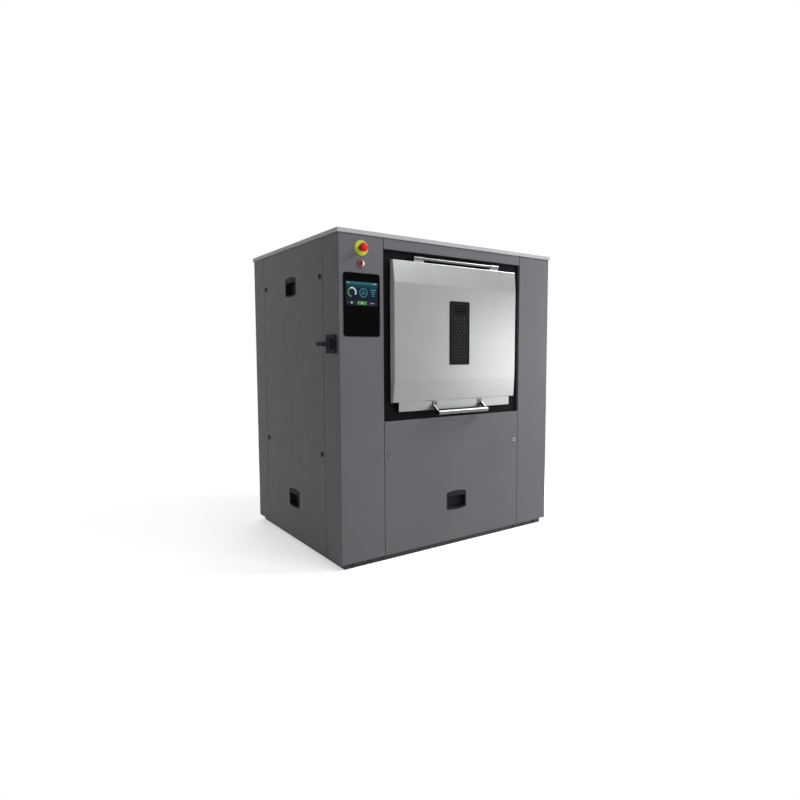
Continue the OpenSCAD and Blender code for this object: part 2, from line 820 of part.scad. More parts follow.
// Profile of a pull bar arm: a pad on the door body and a neck down to the bar
module arm_profile() {
    y0 = y_front - plug_front;
    polygon([[y0, door_low - 3], [y0 - 5, door_low - 3], [y0 - 6, plug_low + 30], [bar_y + 3, bar_z + 11],
        [bar_y + 3, bar_z - 11], [bar_y + 16, bar_z - 8], [y0, plug_low + 8]]);
    translate([bar_y, bar_z]) circle(bar_d / 2 - 1);
}

// Pull bar: a tube between two arms, each screwed to the door body
module door_handle() {
    both_sides() {
        plate_yz(bar_len / 2 - arm_t, arm_t) arm_profile();
        difference() {
            span([bar_len / 2 - 26, y_front - plug_front - 4, plug_low + 6], [bar_len / 2, y_front - plug_front, door_low - 3]);
            for (z = [15, 34]) translate([bar_len / 2 - 17, 0, plug_low + z])
                rod_y(y_front - plug_front - 5, y_front - plug_front - 2.5, 4.5);
        }
    }
    translate([0, bar_y, bar_z]) rod_x(-bar_len / 2, bar_len / 2, bar_d / 2);
}

module door_handle_front() { color("silver") door_handle(); }
module door_handle_rear() { color("silver") mirror([0, 1, 0]) door_handle(); }

// Rubber seals on the mouth ledges, 0.3 mm behind the closed doors
module door_seals() {
    color([0.1, 0.1, 0.1]) both_fronts() difference() {
        plate_xz(plug_y + fit, ledge_y - plug_y - fit) translate([0, axis_z]) round_rect(mouth_w + 60, mouth_h + 60, 20);
        plate_xz(plug_y, ledge_y - plug_y + eps) translate([0, axis_z]) round_rect(mouth_w + 8, mouth_h + 8, 8);
    }
}

module hinge_bars() {
    color("silver") both_fronts() translate([0, hinge_y, hinge_z]) rod_x(-hinge_len / 2, hinge_len / 2, hinge_r);
}

// Door lock boxes behind the black surrounds, beside the door body
module door_locks() {
    x0 = hole_x + sheet + 2;
    x1 = seam_x - jamb_w - 3;
    color([0.2, 0.2, 0.22]) both_fronts() difference() {
        span([x0, recess_y + sheet, hole_low + 20], [x1, recess_y + 42, hole_low + 20 + lock_box_h]);
        translate([x0 - eps, recess_y + 22, hole_low + 20 + lock_box_h / 2]) rod_x(0, 20, 8);
    }
}

// Tub: shell, two necks, two ribs with spring feet and the pipe stubs
module tub_shell() {
    mx = mouth_w / 2;
    mz = mouth_h / 2;
    half = tub_len / 2;
    color([0.7, 0.71, 0.73]) translate([0, 0, axis_z]) difference() {
        union() {
            rod_x(-half, half, tub_r);
            span([-mx - tub_wall, mouth_y, -mz - tub_wall], [mx + tub_wall, -mouth_y, mz + tub_wall]);
            both_sides() tub_rib();
            translate([drain_x, 0, -tub_r - 30]) cylinder(h = 60, r = drain_r);
            translate([0, water_y, water_z - axis_z]) rod_x(half - tub_wall - 5, half + 40, water_pipe_r);
        }
        rod_x(tub_wall - half, half - tub_wall, tub_r - tub_wall);
        span([-mx, mouth_y - eps, -mz], [mx, eps - mouth_y, mz]);
        rod_x(-half - eps, half + eps, shaft_r + 12);
        translate([drain_x, 0, -tub_r - 31]) cylinder(h = 80, r = drain_r - 3);
        translate([0, water_y, water_z - axis_z]) rod_x(half - 20, half + 41, water_pipe_r - 3);
    }
}

// One rib of the tub, cut to its radius, with feet over the air springs
module tub_rib() {
    low = foot_z - axis_z;
    difference() {
        union() {
            plate_yz(rib_x - rib_t / 2, rib_t) polygon([[-spring_y - 70, low], [spring_y + 70, low],
                [spring_y + 70, low + 60], [spring_y + 20, -210], [-spring_y - 20, -210], [-spring_y - 70, low + 60]]);
            both_fronts() span([rib_x - 60, spring_y - 60, low], [rib_x + 60, spring_y + 60, low + rib_t]);
        }
        rod_x(0, tub_len / 2, tub_r - 1);
    }
}

// Rubber bellows: two round the mouths, one at the drain and one at the water pipe
module tub_bellows() {
    y0 = ledge_y + sheet + fit;
    y1 = mouth_y - fit;
    color([0.12, 0.12, 0.13]) {
        both_fronts() difference() {
            union() {
                span([-mouth_w / 2 - 8, y0, axis_z - mouth_h / 2 - 8], [mouth_w / 2 + 8, y1, axis_z + mouth_h / 2 + 8]);
                span([-mouth_w / 2 - 20, y0 + 8, axis_z - mouth_h / 2 - 20],
                    [mouth_w / 2 + 20, y1 - 8, axis_z + mouth_h / 2 + 20]);
            }
            span([-mouth_w / 2 - 3, y0 - eps, axis_z - mouth_h / 2 - 3], [mouth_w / 2 + 3, y1 + eps, axis_z + mouth_h / 2 + 3]);
        }
        translate([drain_x, 0, valve_top - 15]) difference() {
            cylinder(h = 55, r = drain_r + 5);
            translate([0, 0, -eps]) cylinder(h = 60, r = drain_r + fit);
        }
        translate([0, water_y, water_z]) difference() {
            rod_x(tub_len / 2 + 20, tub_len / 2 + 74, water_pipe_r + 5);
            rod_x(tub_len / 2 + 19, tub_len / 2 + 80, water_pipe_r + fit);
        }
    }
}

// Bearing units on the tub ends: flange, barrel and outer ring
module bearing_units() {
    half = tub_len / 2;
    color([0.3, 0.32, 0.35]) translate([0, 0, axis_z]) both_sides() difference() {
        union() {
            rod_x(half, half + 14, 120);
            rod_x(half, housing_x, 80);
            for (a = [0:60:300]) rotate([a, 0, 0]) span([half, 78, -5], [half + 40, 110, 5]);
        }
        rod_x(half - eps, housing_x + eps, shaft_r + run);
        rod_x(housing_x - 8, housing_x + eps, 60);
    }
}

// One hatch lug pair: where a flap's pins turn
module hatch_lugs() {
    a = hatch_a + 1.5;
    r = drum_r - 12;
    both_sides() translate([hatch_w / 2 + 3, -r * cos(a), r * sin(a)]) difference() {
        rotate([-a, 0, 0]) plate_yz(0, 14)
            polygon([[-10.5, -8], [5, -8], [8.5, -3], [8.5, 3], [5, 8], [-10.5, 8]]);
        rod_x(-eps, 15, 5 + run);
    }
}

// Drum shell: a perforated cylinder with the hatch and its lugs
module drum_shell() {
    pitch = 2 * (drum_x - 60) / (hole_rows - 1);
    color([0.8, 0.8, 0.81]) translate([0, 0, axis_z]) {
        difference() {
            rod_x(-drum_x, drum_x, drum_r);
            rod_x(-drum_x - eps, drum_x + eps, drum_r - drum_wall);
            intersection() {
                span([-hatch_w / 2, -drum_r - eps, -drum_r], [hatch_w / 2, 0, drum_r]);
                plate_yz(-hatch_w / 2 - eps, hatch_w + 2 * eps) polygon([[0, 0],
                    [-2 * drum_r, -2 * drum_r * tan(hatch_a)], [-2 * drum_r, 2 * drum_r * tan(hatch_a)]]);
            }
            for (i = [0:hole_rows - 1], a = [60:20:300])
                if (a % 90 != 0) rotate([180 - a, 0, 0]) translate([-drum_x + 60 + i * pitch, 0, 0])
                    rod_y(drum_r - 20, drum_r + 5, hole_r);
        }
        hatch_lugs();
        mirror([0, 0, 1]) hatch_lugs();
    }
}

// Drum ends: pressed discs with a stiffening ring and the shaft seat
module drum_ends() {
    color([0.74, 0.75, 0.76]) translate([0, 0, axis_z]) both_sides() difference() {
        union() {
            rod_x(drum_x + fit / 2, drum_x + 4, drum_r);
            rod_x(drum_x - 6, drum_x + 1, drum_r - drum_wall - fit);
        }
        difference() {
            rod_x(drum_x - 6 - eps, drum_x - 2, drum_r - 60);
            rod_x(drum_x - 7, drum_x, 150);
        }
        rod_x(drum_x - 8, drum_x + 6, 60);
    }
}

// Shaft ends: a flange bolted to the drum end and the turned shaft
module drum_shafts() {
    color([0.5, 0.51, 0.53]) translate([0, 0, axis_z]) {
        both_sides() {
            rod_x(drum_x + 4, drum_x + 14, 110);
            rod_x(drum_x - 6, drum_x + 14, 60 - run);
        }
        rod_x(drum_x + 10, pulley_end, shaft_r);
        rod_x(-housing_x - 8, -drum_x - 10, shaft_r);
    }
}

// Lifters: three hollow ribs along the drum
module drum_lifters() {
    r = drum_r - drum_wall - fit;
    color([0.78, 0.79, 0.8]) translate([0, 0, axis_z]) for (a = [0, 90, -90]) rotate([a, 0, 0])
        plate_yz(8 - drum_x, 2 * drum_x - 16) difference() {
            polygon([[sqrt(r * r - 3600), -60], [r - lifter_h + 14, -24], [r - lifter_h, -10],
                [r - lifter_h, 10], [r - lifter_h + 14, 24], [sqrt(r * r - 3600), 60]]);
            polygon([[sqrt(r * r - 3600) + 1, -50], [r - lifter_h + 16, -20], [r - lifter_h + 4, -8],
                [r - lifter_h + 4, 8], [r - lifter_h + 16, 20], [sqrt(r * r - 3600) + 1, 50]]);
        }
}

// A place on the drum's section, by radius and angle above the front
function polar(r, a) = [-r * cos(a), r * sin(a)];

// A hatch flap: a curved leaf with stiffening folds and two hinge pins
module drum_flap() {
    a = hatch_a + 1.5;
    r = drum_r - 12;
    w = hatch_w / 2 - 1.5;
    difference() {
        union() {
            intersection() {
                difference() {
                    rod_x(-w, w, drum_r - 0.5);
                    rod_x(-w - eps, w + eps, drum_r - drum_wall);
                }
                plate_yz(-w, 2 * w) polygon([[0, 0.8], [-2 * drum_r, 0.8], [-2 * drum_r, 2 * drum_r * tan(hatch_a - 0.4)]]);
            }
            span([-w, 1.5 - drum_r, 20], [w, 15 - drum_r, 23]);
            plate_yz(-w, 2 * w) polygon([polar(drum_r - 2, hatch_a - 4), polar(drum_r - 1.5, hatch_a - 0.6),
                polar(drum_r - 9, a - 0.5), polar(drum_r - 16, a - 0.5), polar(drum_r - 7, hatch_a - 4)]);
            translate([0, -r * cos(a), r * sin(a)]) {
                rod_x(-w, w, 8);
                rod_x(-w - 15, w + 15, 5);
            }
        }
        for (i = [-3:3], b = [8, 16]) rotate([-b, 0, 0]) translate([i * 70, 0, 0])
            rod_y(-drum_r - 5, 20 - drum_r, hole_r);
    }
}

module drum_flap_upper() {
    color([0.82, 0.83, 0.84]) translate([0, 0, axis_z]) drum_flap();
}

module drum_flap_lower() {
    color([0.82, 0.83, 0.84]) translate([0, 0, axis_z]) mirror([0, 0, 1]) drum_flap();
}

// Belt pulley with a grooved rim, spokes and a hub
module drum_pulley() {
    color([0.35, 0.36, 0.38]) translate([0, 0, axis_z]) difference() {
        rod_x(pulley_x, pulley_end, pulley_r);
        rod_x(pulley_x - eps, pulley_end + eps, shaft_r + run);
        difference() {
            rod_x(pulley_x - eps, pulley_x + 22, pulley_r - 16);
            rod_x(pulley_x - 2 * eps, pulley_x + 22, 65);
        }
        difference() {
            rod_x(pulley_end - 22, pulley_end + eps, pulley_r - 16);
            rod_x(pulley_end - 22, pulley_end + 2 * eps, 65);
        }
        for (a = [0:60:300]) rotate([a, 0, 0]) translate([0, 175, 0]) rod_x(pulley_x, pulley_end, 68);
    }
}

// Ribbed belt round both pulleys
module drive_belt() {
    t = 6;
    color([0.06, 0.06, 0.06]) plate_yz(pulley_x + 5, pulley_w - 10) difference() {
        hull() {
            translate([0, axis_z]) circle(pulley_r + t + fit, $fn = 96);
            translate([0, motor_z]) circle(motor_pulley_r + t + fit);
        }
        hull() {
            translate([0, axis_z]) circle(pulley_r + fit, $fn = 96);
            translate([0, motor_z]) circle(motor_pulley_r + fit);
        }
    }
}

// Motor: finned body, end bell and the flange on the rib
module motor() {
    x0 = rib_x + rib_t / 2;
    color([0.2, 0.3, 0.38]) translate([0, 0, motor_z]) {
        span([x0, -motor_r - 15, 15 - motor_r], [x0 + rib_t, motor_r + 15, motor_r - 35]);
        difference() {
            rod_x(x0 + 10, pulley_x - 40, motor_r);
            for (a = [0:15:345]) rotate([a, 0, 0]) span([x0 + 30, motor_r - 10, -5], [pulley_x - 60, motor_r + 5, 5]);
            rod_x(pulley_x - 60, pulley_x - 30, 14 + run);
        }
    }
}

module motor_pulley() {
    color([0.4, 0.41, 0.43]) translate([0, 0, motor_z]) {
        difference() {
            rod_x(pulley_x, pulley_end, motor_pulley_r);
            rod_x(pulley_end - 15, pulley_end + eps, motor_pulley_r - 14);
        }
        rod_x(pulley_x - 59, pulley_x + 5, 14);
    }
}

// Air springs between the pedestals and the tub feet
module air_springs() {
    z0 = rail_h + pedestal_h;
    h = foot_z - z0;
    color([0.08, 0.08, 0.09]) both_sides() both_fronts() translate([rib_x, spring_y, z0]) rotate_extrude()
        polygon(concat([[0, 0], [50, 0]], [for (i = [0:24]) [52 + 13 * abs(sin(i * 15)), 4 + i * (h - 8) / 24]],
            [[50, h], [0, h]]));
}

// Telescopic dampers between the beams and the ribs
module dampers() {
    h = foot_z - rail_h;
    color([0.5, 0.5, 0.52]) both_sides() both_fronts() translate([rib_x, damper_y, rail_h]) {
        cylinder(h = 12, r = 20);
        cylinder(h = h * 0.6, r = 24);
        cylinder(h = h, r = 9);
        translate([0, 0, h - 12]) cylinder(h = 12, r = 20);
    }
}

// Drain valve under the tub with its pipe out through the right panel
module drain_valve() {
    color([0.25, 0.26, 0.28]) difference() {
        union() {
            translate([drain_x, 0, drain_z]) cylinder(h = valve_top - drain_z, r = drain_r);
            translate([drain_x, 0, valve_top - 160]) cylinder(h = 90, r = 66);
            translate([drain_x, 0, drain_z]) sphere(drain_r);
            translate([0, 0, drain_z]) rod_x(drain_x, x_side + 3, drain_r - 1.5);
            translate([0, 0, drain_z]) rod_x(x_side + 5, x_side + side_out, drain_r);
            translate([0, 0, drain_z]) rod_x(x_side + fit, x_side + 6, drain_r + 14);
            span([rib_x - 20, -20, rail_h], [rib_x + 20, 20, drain_z - drain_r + 8]);
        }
        translate([drain_x, 0, drain_z]) cylinder(h = valve_top, r = drain_r - 3);
        translate([0, 0, drain_z]) rod_x(drain_x, x_side + side_out + eps, drain_r - 4);
    }
}

// Water and steam connections: a manifold with four stubs and the tub pipe
module water_inlets() {
    x0 = manifold_x;
    color([0.65, 0.5, 0.25]) translate([0, 0, water_z]) difference() {
        union() {
            span([x0, water_y - inlet_pitch - inlet_r - 8, -water_pipe_r - 3], [x0 + manifold_d, seam_y - 5, water_pipe_r + 3]);
            for (i = [-1:2]) translate([0, water_y + inlet_pitch * i, 0]) {
                rod_x(x0 + 20, x_side + 3, inlet_r - 2);
                rod_x(x_side + fit, x_side + 8, inlet_r + 4);
                rod_x(x_side + 7, x_side + side_out, inlet_r);
            }
            translate([0, water_y, 0]) rod_x(tub_len / 2 + 44, x0 + 10, water_pipe_r);
        }
        for (i = [-1:2]) translate([0, water_y + inlet_pitch * i, 0]) rod_x(x0 + 30, x_side + side_out + eps, inlet_r - 5);
        translate([0, water_y, 0]) rod_x(tub_len / 2 + 43, x0 + 10, water_pipe_r - 3);
    }
}

// Electrical box on a plate across the left side jambs
module electrical_box() {
    x0 = jamb_d - base_x + fit;
    color([0.55, 0.56, 0.57]) {
        span([x0, 1 - seam_y, box_z - box_h / 2 - 30], [x0 + 4, seam_y - 1, box_z + box_h / 2 + 30]);
        span([x0 + 3, -box_w / 2, box_z - box_h / 2], [x0 + box_d, box_w / 2, box_z + box_h / 2]);
        span([x0 + box_d - 1, 8 - box_w / 2, box_z + 8 - box_h / 2], [x0 + box_d + 3, box_w / 2 - 8, box_z + box_h / 2 - 8]);
    }
}

// Cable gland of the supply, in the right side panel
module cable_gland() {
    color([0.1, 0.1, 0.1]) translate([0, -water_y, water_z]) difference() {
        union() {
            rod_x(x_side - 14, x_side + 26, 12);
            translate([x_side + fit, 0, 0]) rotate([0, 90, 0]) cylinder(h = 8, r = 18, $fn = 6);
            translate([x_side + 12, 0, 0]) rotate([0, 90, 0]) cylinder(h = 18, r = 16, $fn = 6);
            rod_x(x_side - 12, x_side - sheet - fit, 17);
        }
        rod_x(x_side - 15, x_side + 31, 7);
    }
}

base_frame();
upper_frame();
lid();
corner_panel_front_left();
corner_panel_front_right();
corner_panel_rear_left();
corner_panel_rear_right();
header_strips();
door_surrounds();
front_panel();
rear_panel();
side_panel_left();
side_panel_right();
handle_cups();
cabinet_screws();
lock_front_left();
lock_front_right();
lock_side_1();
lock_side_2();
lock_side_3();
lock_side_4();
stop_plates();
stop_button_front();
stop_button_rear();
selector_ring();
selector_knob();
control_glass();
touch_screen();
main_switch_plate();
main_switch_handle();
door_skin_front();
door_body_front();
door_grip_front();
door_handle_front();
door_skin_rear();
door_body_rear();
door_grip_rear();
door_handle_rear();
door_seals();
hinge_bars();
door_locks();
tub_shell();
tub_bellows();
bearing_units();
drum_shell();
drum_ends();
drum_shafts();
drum_lifters();
drum_flap_upper();
drum_flap_lower();
drum_pulley();
drive_belt();
motor();
motor_pulley();
air_springs();
dampers();
drain_valve();
water_inlets();
electrical_box();
cable_gland();
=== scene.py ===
# Barrier washer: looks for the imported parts. The machine stands on the floor with its
# loading front towards -Y, and each section follows one group of pieces as it is put together.
import json
import math

import bmesh
import bpy
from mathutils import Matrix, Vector

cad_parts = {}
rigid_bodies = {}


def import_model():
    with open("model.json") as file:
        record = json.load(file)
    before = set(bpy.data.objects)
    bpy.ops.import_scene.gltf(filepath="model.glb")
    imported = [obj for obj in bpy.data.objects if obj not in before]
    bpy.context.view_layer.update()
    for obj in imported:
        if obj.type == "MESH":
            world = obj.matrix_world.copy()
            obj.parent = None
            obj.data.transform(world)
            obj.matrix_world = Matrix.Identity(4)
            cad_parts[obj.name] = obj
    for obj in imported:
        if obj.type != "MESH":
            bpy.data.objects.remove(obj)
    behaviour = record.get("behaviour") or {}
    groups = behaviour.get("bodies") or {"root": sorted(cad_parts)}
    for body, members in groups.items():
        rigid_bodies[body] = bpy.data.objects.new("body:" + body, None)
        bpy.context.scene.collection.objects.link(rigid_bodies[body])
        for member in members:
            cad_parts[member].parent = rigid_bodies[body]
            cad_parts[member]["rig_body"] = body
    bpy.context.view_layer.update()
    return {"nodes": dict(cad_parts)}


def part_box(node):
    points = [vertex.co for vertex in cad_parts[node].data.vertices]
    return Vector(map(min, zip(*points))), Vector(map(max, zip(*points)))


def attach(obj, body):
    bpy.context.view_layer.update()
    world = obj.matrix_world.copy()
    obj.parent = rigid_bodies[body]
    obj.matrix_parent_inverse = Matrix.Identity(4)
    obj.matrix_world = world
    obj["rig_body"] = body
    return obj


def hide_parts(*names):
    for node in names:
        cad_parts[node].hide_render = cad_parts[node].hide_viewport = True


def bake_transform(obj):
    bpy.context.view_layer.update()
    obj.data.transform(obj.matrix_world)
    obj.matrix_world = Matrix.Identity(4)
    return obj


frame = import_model()

# Studio: a pale floor, seven soft lights and the camera that stood before the machine. The
# floor turns pure white away from the machine. The world is white to the camera and in a
# gloss, and grey as a light.


def added(name, data):
    """A mesh, a lamp or a camera put in the scene as an object at the origin."""
    made = bpy.data.objects.new(name, data)
    bpy.context.scene.collection.objects.link(made)
    return made


def aim(made, place, direction):
    """Puts a lamp or a camera at a place and turns it to look along a direction."""
    made.location = place
    made.rotation_mode = "QUATERNION"
    made.rotation_quaternion = direction.to_track_quat("-Z", "Y")


camera_data = bpy.data.cameras.new("camera")
camera_data.lens = 25.84
camera_data.shift_x = -0.0375
camera_place = (-1.9757, -3.0152, 1.0681)
camera_yaw, camera_pitch = math.radians(36.19), math.radians(-4.72)
camera_forward = Vector((math.sin(camera_yaw) * math.cos(camera_pitch),
                         math.cos(camera_yaw) * math.cos(camera_pitch), math.sin(camera_pitch)))
camera = added("camera", camera_data)
aim(camera, camera_place, camera_forward)
bpy.context.scene.camera = camera
bpy.context.scene.view_settings.view_transform = "Standard"


class Wire:
    """One output socket of a node tree, with sums, products and comparisons written as Python."""

    def __init__(self, tree, socket):
        self.tree, self.socket = tree, socket

    def _math(self, operation, *values):
        return self.tree.node("ShaderNodeMath", {"operation": operation}, list(values))

    def __add__(self, other):
        return self._math("ADD", self, other)

    def __radd__(self, other):
        return self._math("ADD", other, self)

    def __sub__(self, other):
        return self._math("SUBTRACT", self, other)

    def __rsub__(self, other):
        return self._math("SUBTRACT", other, self)

    def __mul__(self, other):
        return self._math("MULTIPLY", self, other)

    def __rmul__(self, other):
        return self._math("MULTIPLY", other, self)

    def __gt__(self, other):
        return self._math("GREATER_THAN", self, other)

    def __lt__(self, other):
        return self._math("LESS_THAN", self, other)


class Tree:
    """A node tree. node() adds any node, with its settings first, and gives back one output."""

    def __init__(self, tree):
        self.tree = tree
        self.tree.nodes.clear()

    def node(self, kind, settings=None, sockets=None, output=0):
        made = self.tree.nodes.new(kind)
        for key, value in (settings or {}).items():
            if key == "stops":
                ramp = made.color_ramp.elements
                while len(ramp) < len(value):
                    ramp.new(0.5)
                for stop, (at, colour) in zip(ramp, value):
                    stop.position, stop.color = at, (*colour, 1.0)
            else:
                setattr(made, key, value)
        pairs = enumerate(sockets) if isinstance(sockets, list) else (sockets or {}).items()
        for key, value in pairs:
            if isinstance(value, Wire):
                self.tree.links.new(value.socket, made.inputs[key])
            elif isinstance(value, tuple) and len(value) == 3 and made.inputs[key].type == "RGBA":
                made.inputs[key].default_value = (*value, 1.0)
            else:
                made.inputs[key].default_value = value
        return Wire(self, made.outputs[output]) if made.outputs else None


class Shader(Tree):
    """The finish of a material, with patterns measured in metres on the machine itself."""

    def __init__(self, name):
        self.material = bpy.data.materials.new(name)
        self.material.use_nodes = True
        super().__init__(self.material.node_tree)

    def place(self, stretch=(1.0, 1.0, 1.0)):
        """The place on the machine in metres, each axis multiplied by its stretch."""
        at = self.node("ShaderNodeTexCoord", output="Object")
        return self.node("ShaderNodeMapping", {}, {"Vector": at, "Scale": stretch})

    def noise(self, scale, stretch=(1.0, 1.0, 1.0), detail=3.0, roughness=0.5):
        """A cloudy value with about so many clouds to the metre."""
        return self.node("ShaderNodeTexNoise", {}, {
            "Vector": self.place(stretch), "Scale": scale, "Detail": detail, "Roughness": roughness})

    def between(self, low, high, amount, start=0.3, end=0.7):
        """A value that goes from low to high while an amount goes from start to end."""
        return self.node("ShaderNodeMapRange", {}, {
            "Value": amount, "From Min": start, "From Max": end, "To Min": low, "To Max": high})

    def blend(self, amount, low, high):
        """A colour that goes from low to high while an amount goes from 0 to 1."""
        return self.node("ShaderNodeMix", {"data_type": "RGBA"}, {0: amount, 6: low, 7: high}, output=2)

    def bump(self, height, strength, distance):
        """A surface that seems raised by a height, up to a distance in metres."""
        return self.node("ShaderNodeBump", {}, {"Height": height, "Strength": strength, "Distance": distance})

    def finish(self, **sockets):
        """The material itself, with a value or a wire for each socket that is named."""
        names = {key.replace("_", " "): value for key, value in sockets.items()}
        return self.close(self.node("ShaderNodeBsdfPrincipled", {}, names))

    def close(self, surface):
        self.node("ShaderNodeOutputMaterial", {}, {"Surface": surface})
        return self.material


def seen(tree):
    """1 for the rays that the camera, a gloss or a glass sends, and 0 for light between dull surfaces."""
    camera_ray, gloss_ray, glass_ray = [tree.node("ShaderNodeLightPath", output="Is %s Ray" % kind)
                                        for kind in ("Camera", "Glossy", "Transmission")]
    return camera_ray + gloss_ray + glass_ray > 0.5


def mesh_of(name, points, faces, *finishes):
    """A mesh from its points and faces, with its finishes."""
    mesh = bpy.data.meshes.new(name)
    mesh.from_pydata(points, [], faces)
    for finish in finishes:
        mesh.materials.append(finish)
    return mesh


floor_half, floor_drop = 30.0, 0.0005
white_start, white_end = 1.2, 2.4
pure_white = (1.0, 1.0, 1.0)
paint = Shader("floor_paint")
floor_skin = paint.node("ShaderNodeBsdfDiffuse", {}, {"Color": (0.9, 0.9, 0.9)})
floor_lift = paint.node("ShaderNodeEmission", {}, {"Color": pure_white, "Strength": seen(paint) * 0.5})
floor_near = paint.node("ShaderNodeAddShader", {}, [floor_skin, floor_lift])
floor_far = paint.node("ShaderNodeEmission", {}, {"Color": pure_white, "Strength": 1.0})
floor_reach = paint.node("ShaderNodeVectorMath", {"operation": "LENGTH"}, [paint.place()], output=1)
far_share = paint.between(0.0, 1.0, floor_reach, white_start, white_end) * seen(paint)
floor_paint = paint.close(paint.node("ShaderNodeMixShader", {}, [far_share, floor_near, floor_far]))
floor_corners = [(x * floor_half, y * floor_half, -floor_drop)
                 for x, y in ((-1, -1), (1, -1), (1, 1), (-1, 1))]
floor = added("floor", mesh_of("floor", floor_corners, [(0, 1, 2, 3)], floor_paint))

world = bpy.data.worlds.new("studio")
world.use_nodes = True
bpy.context.scene.world = world
sky = Tree(world.node_tree)
sky_grey = sky.node("ShaderNodeBackground", {}, {"Color": (0.97, 0.98, 1.0), "Strength": 0.35})
sky_white = sky.node("ShaderNodeBackground", {}, {"Color": pure_white, "Strength": 1.0})
sky_both = sky.node("ShaderNodeMixShader", {}, [seen(sky), sky_grey, sky_white])
sky.node("ShaderNodeOutputWorld", {}, {"Surface": sky_both})


def soft_light(name, place, target, width, height, power):
    """A flat lamp at a place, turned to a target, with its size in metres and its power in watts."""
    lamp = bpy.data.lights.new(name, "AREA")
    lamp.shape = "RECTANGLE"
    lamp.size, lamp.size_y, lamp.energy = width, height, power
    lamp.use_shadow = True
    aim(added(name, lamp), place, Vector(target) - Vector(place))


# The upper band of the door mirrors light_band, and the first and the fourth brighten the front
# from the right.
soft_light("light_right", (3.0, -2.68, 0.76), (0.0, -0.58, 0.8), 1.85, 1.5, 20.5)
soft_light("light_high", (0.9, -4.6, 4.5), (0.0, 0.0, 1.0), 3.0, 1.6, 112.0)
soft_light("light_band", (2.0, -4.5, 3.4), (-0.3, -0.6, 1.45), 0.9, 0.9, 4.3)
soft_light("light_side", (2.6, -1.35, 1.3), (0.3, -0.57, 1.0), 0.9, 1.2, 17.0)
soft_light("light_far", (4.4, -2.6, 5.2), (0.0, 0.0, 1.0), 2.4, 1.8, 455.0)
soft_light("light_left", (-5.0, 0.8, 3.4), (0.0, 0.0, 0.9), 3.2, 2.6, 3.0)
soft_light("light_back", (1.5, 4.8, 3.4), (0.0, 0.0, 1.0), 3.4, 2.6, 90.0)


# Base ring and inner frame. Folded and welded channel, coated black below and primed grey
# above; the posts and rails are bars that the panels hang on.
def enamel(name, colour, rough=0.45, grain=0.12, shine=0.3, speck=0.03):
    """Baked enamel over steel: a fine orange peel, a little unevenness in colour and gloss."""
    coat = Shader(name)
    cloud = coat.noise(3.0, detail=4.0)
    fine = coat.noise(900.0, detail=2.0)
    dark = tuple(c * (1.0 - speck) for c in colour)
    light = tuple(c * (1.0 + speck) for c in colour)
    tint = coat.blend(coat.between(0.0, 1.0, cloud * 0.7 + fine * 0.3), dark, light)
    wear = coat.noise(14.0, detail=5.0) * 0.6 + fine * 0.4
    peel = coat.bump(fine + coat.noise(2600.0) * 0.5, grain, 0.0003)
    return coat.finish(Base_Color=tint, Roughness=coat.between(rough - 0.06, rough + 0.06, wear), Normal=peel,
                       Specular_IOR_Level=shine)


merge_gap = 0.000005
flat_turn = math.radians(0.4)


def smooth(mesh, angle):
    """Shades a mesh round, apart from the edges that turn by more than an angle in degrees."""
    mesh.shade_smooth()
    mesh.set_sharp_from_angle(angle=math.radians(angle))


def even_flats(made, keep_sharp):
    """Lets the large faces lead the shading, so that their broken edges don't cloud them."""
    flats = made.modifiers.new("flats", "WEIGHTED_NORMAL")
    flats.mode, flats.weight, flats.keep_sharp = "FACE_AREA", 100, keep_sharp


def settle(made):
    """Turns an object with its modifiers into one plain mesh."""
    bpy.context.view_layer.update()
    plain = bpy.data.meshes.new_from_object(made.evaluated_get(bpy.context.evaluated_depsgraph_get()))
    made.modifiers.clear()
    made.data = plain


def dress(node, finish, bevel=0.0, segments=2, angle=30.0, cores=(), across=None):
    """A CAD node's own shape with its edges broken and its round faces smooth, in place of the bare node.

    When across is given, the piece stays fixed where it stands instead of riding on a body; its start and end
    are not used.
    across is the start and end between which a soft piece gives from the cabinet to the tub."""
    source = frame["nodes"][node]
    mesh = source.data.copy()
    mesh.name = node + "_dressed"
    shape = bmesh.new()
    shape.from_mesh(mesh)
    bmesh.ops.remove_doubles(shape, verts=shape.verts, dist=merge_gap)
    bmesh.ops.dissolve_limit(shape, angle_limit=flat_turn, verts=shape.verts, edges=shape.edges)
    shape.to_mesh(mesh)
    shape.free()
    mesh.materials.clear()
    for skin in finish if isinstance(finish, list) else [finish]:
        mesh.materials.append(skin)
    for face in mesh.polygons:
        corners = [mesh.vertices[i].co for i in face.vertices]
        inside = [max(math.hypot(c.x - x, c.z - z) for c in corners) < r for x, z, r in cores]
        face.material_index = int(any(inside))
    made = added(node + "_dressed", mesh)
    smooth(mesh, angle)
    if bevel:
        edges = made.modifiers.new("edges", "BEVEL")
        edges.width, edges.segments, edges.limit_method = bevel, segments, "ANGLE"
        edges.angle_limit = math.radians(angle)
    even_flats(made, keep_sharp=not bevel)
    settle(made)
    if across:
        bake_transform(made)
    else:
        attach(made, source["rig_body"])
    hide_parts(node)


base_black = enamel("base_black", (0.012, 0.012, 0.014), rough=0.42, grain=0.2)
primer_grey = enamel("primer_grey", (0.2, 0.21, 0.22), rough=0.55)
dress("base_frame", base_black, bevel=0.002)
dress("upper_frame", primer_grey, bevel=0.0015)

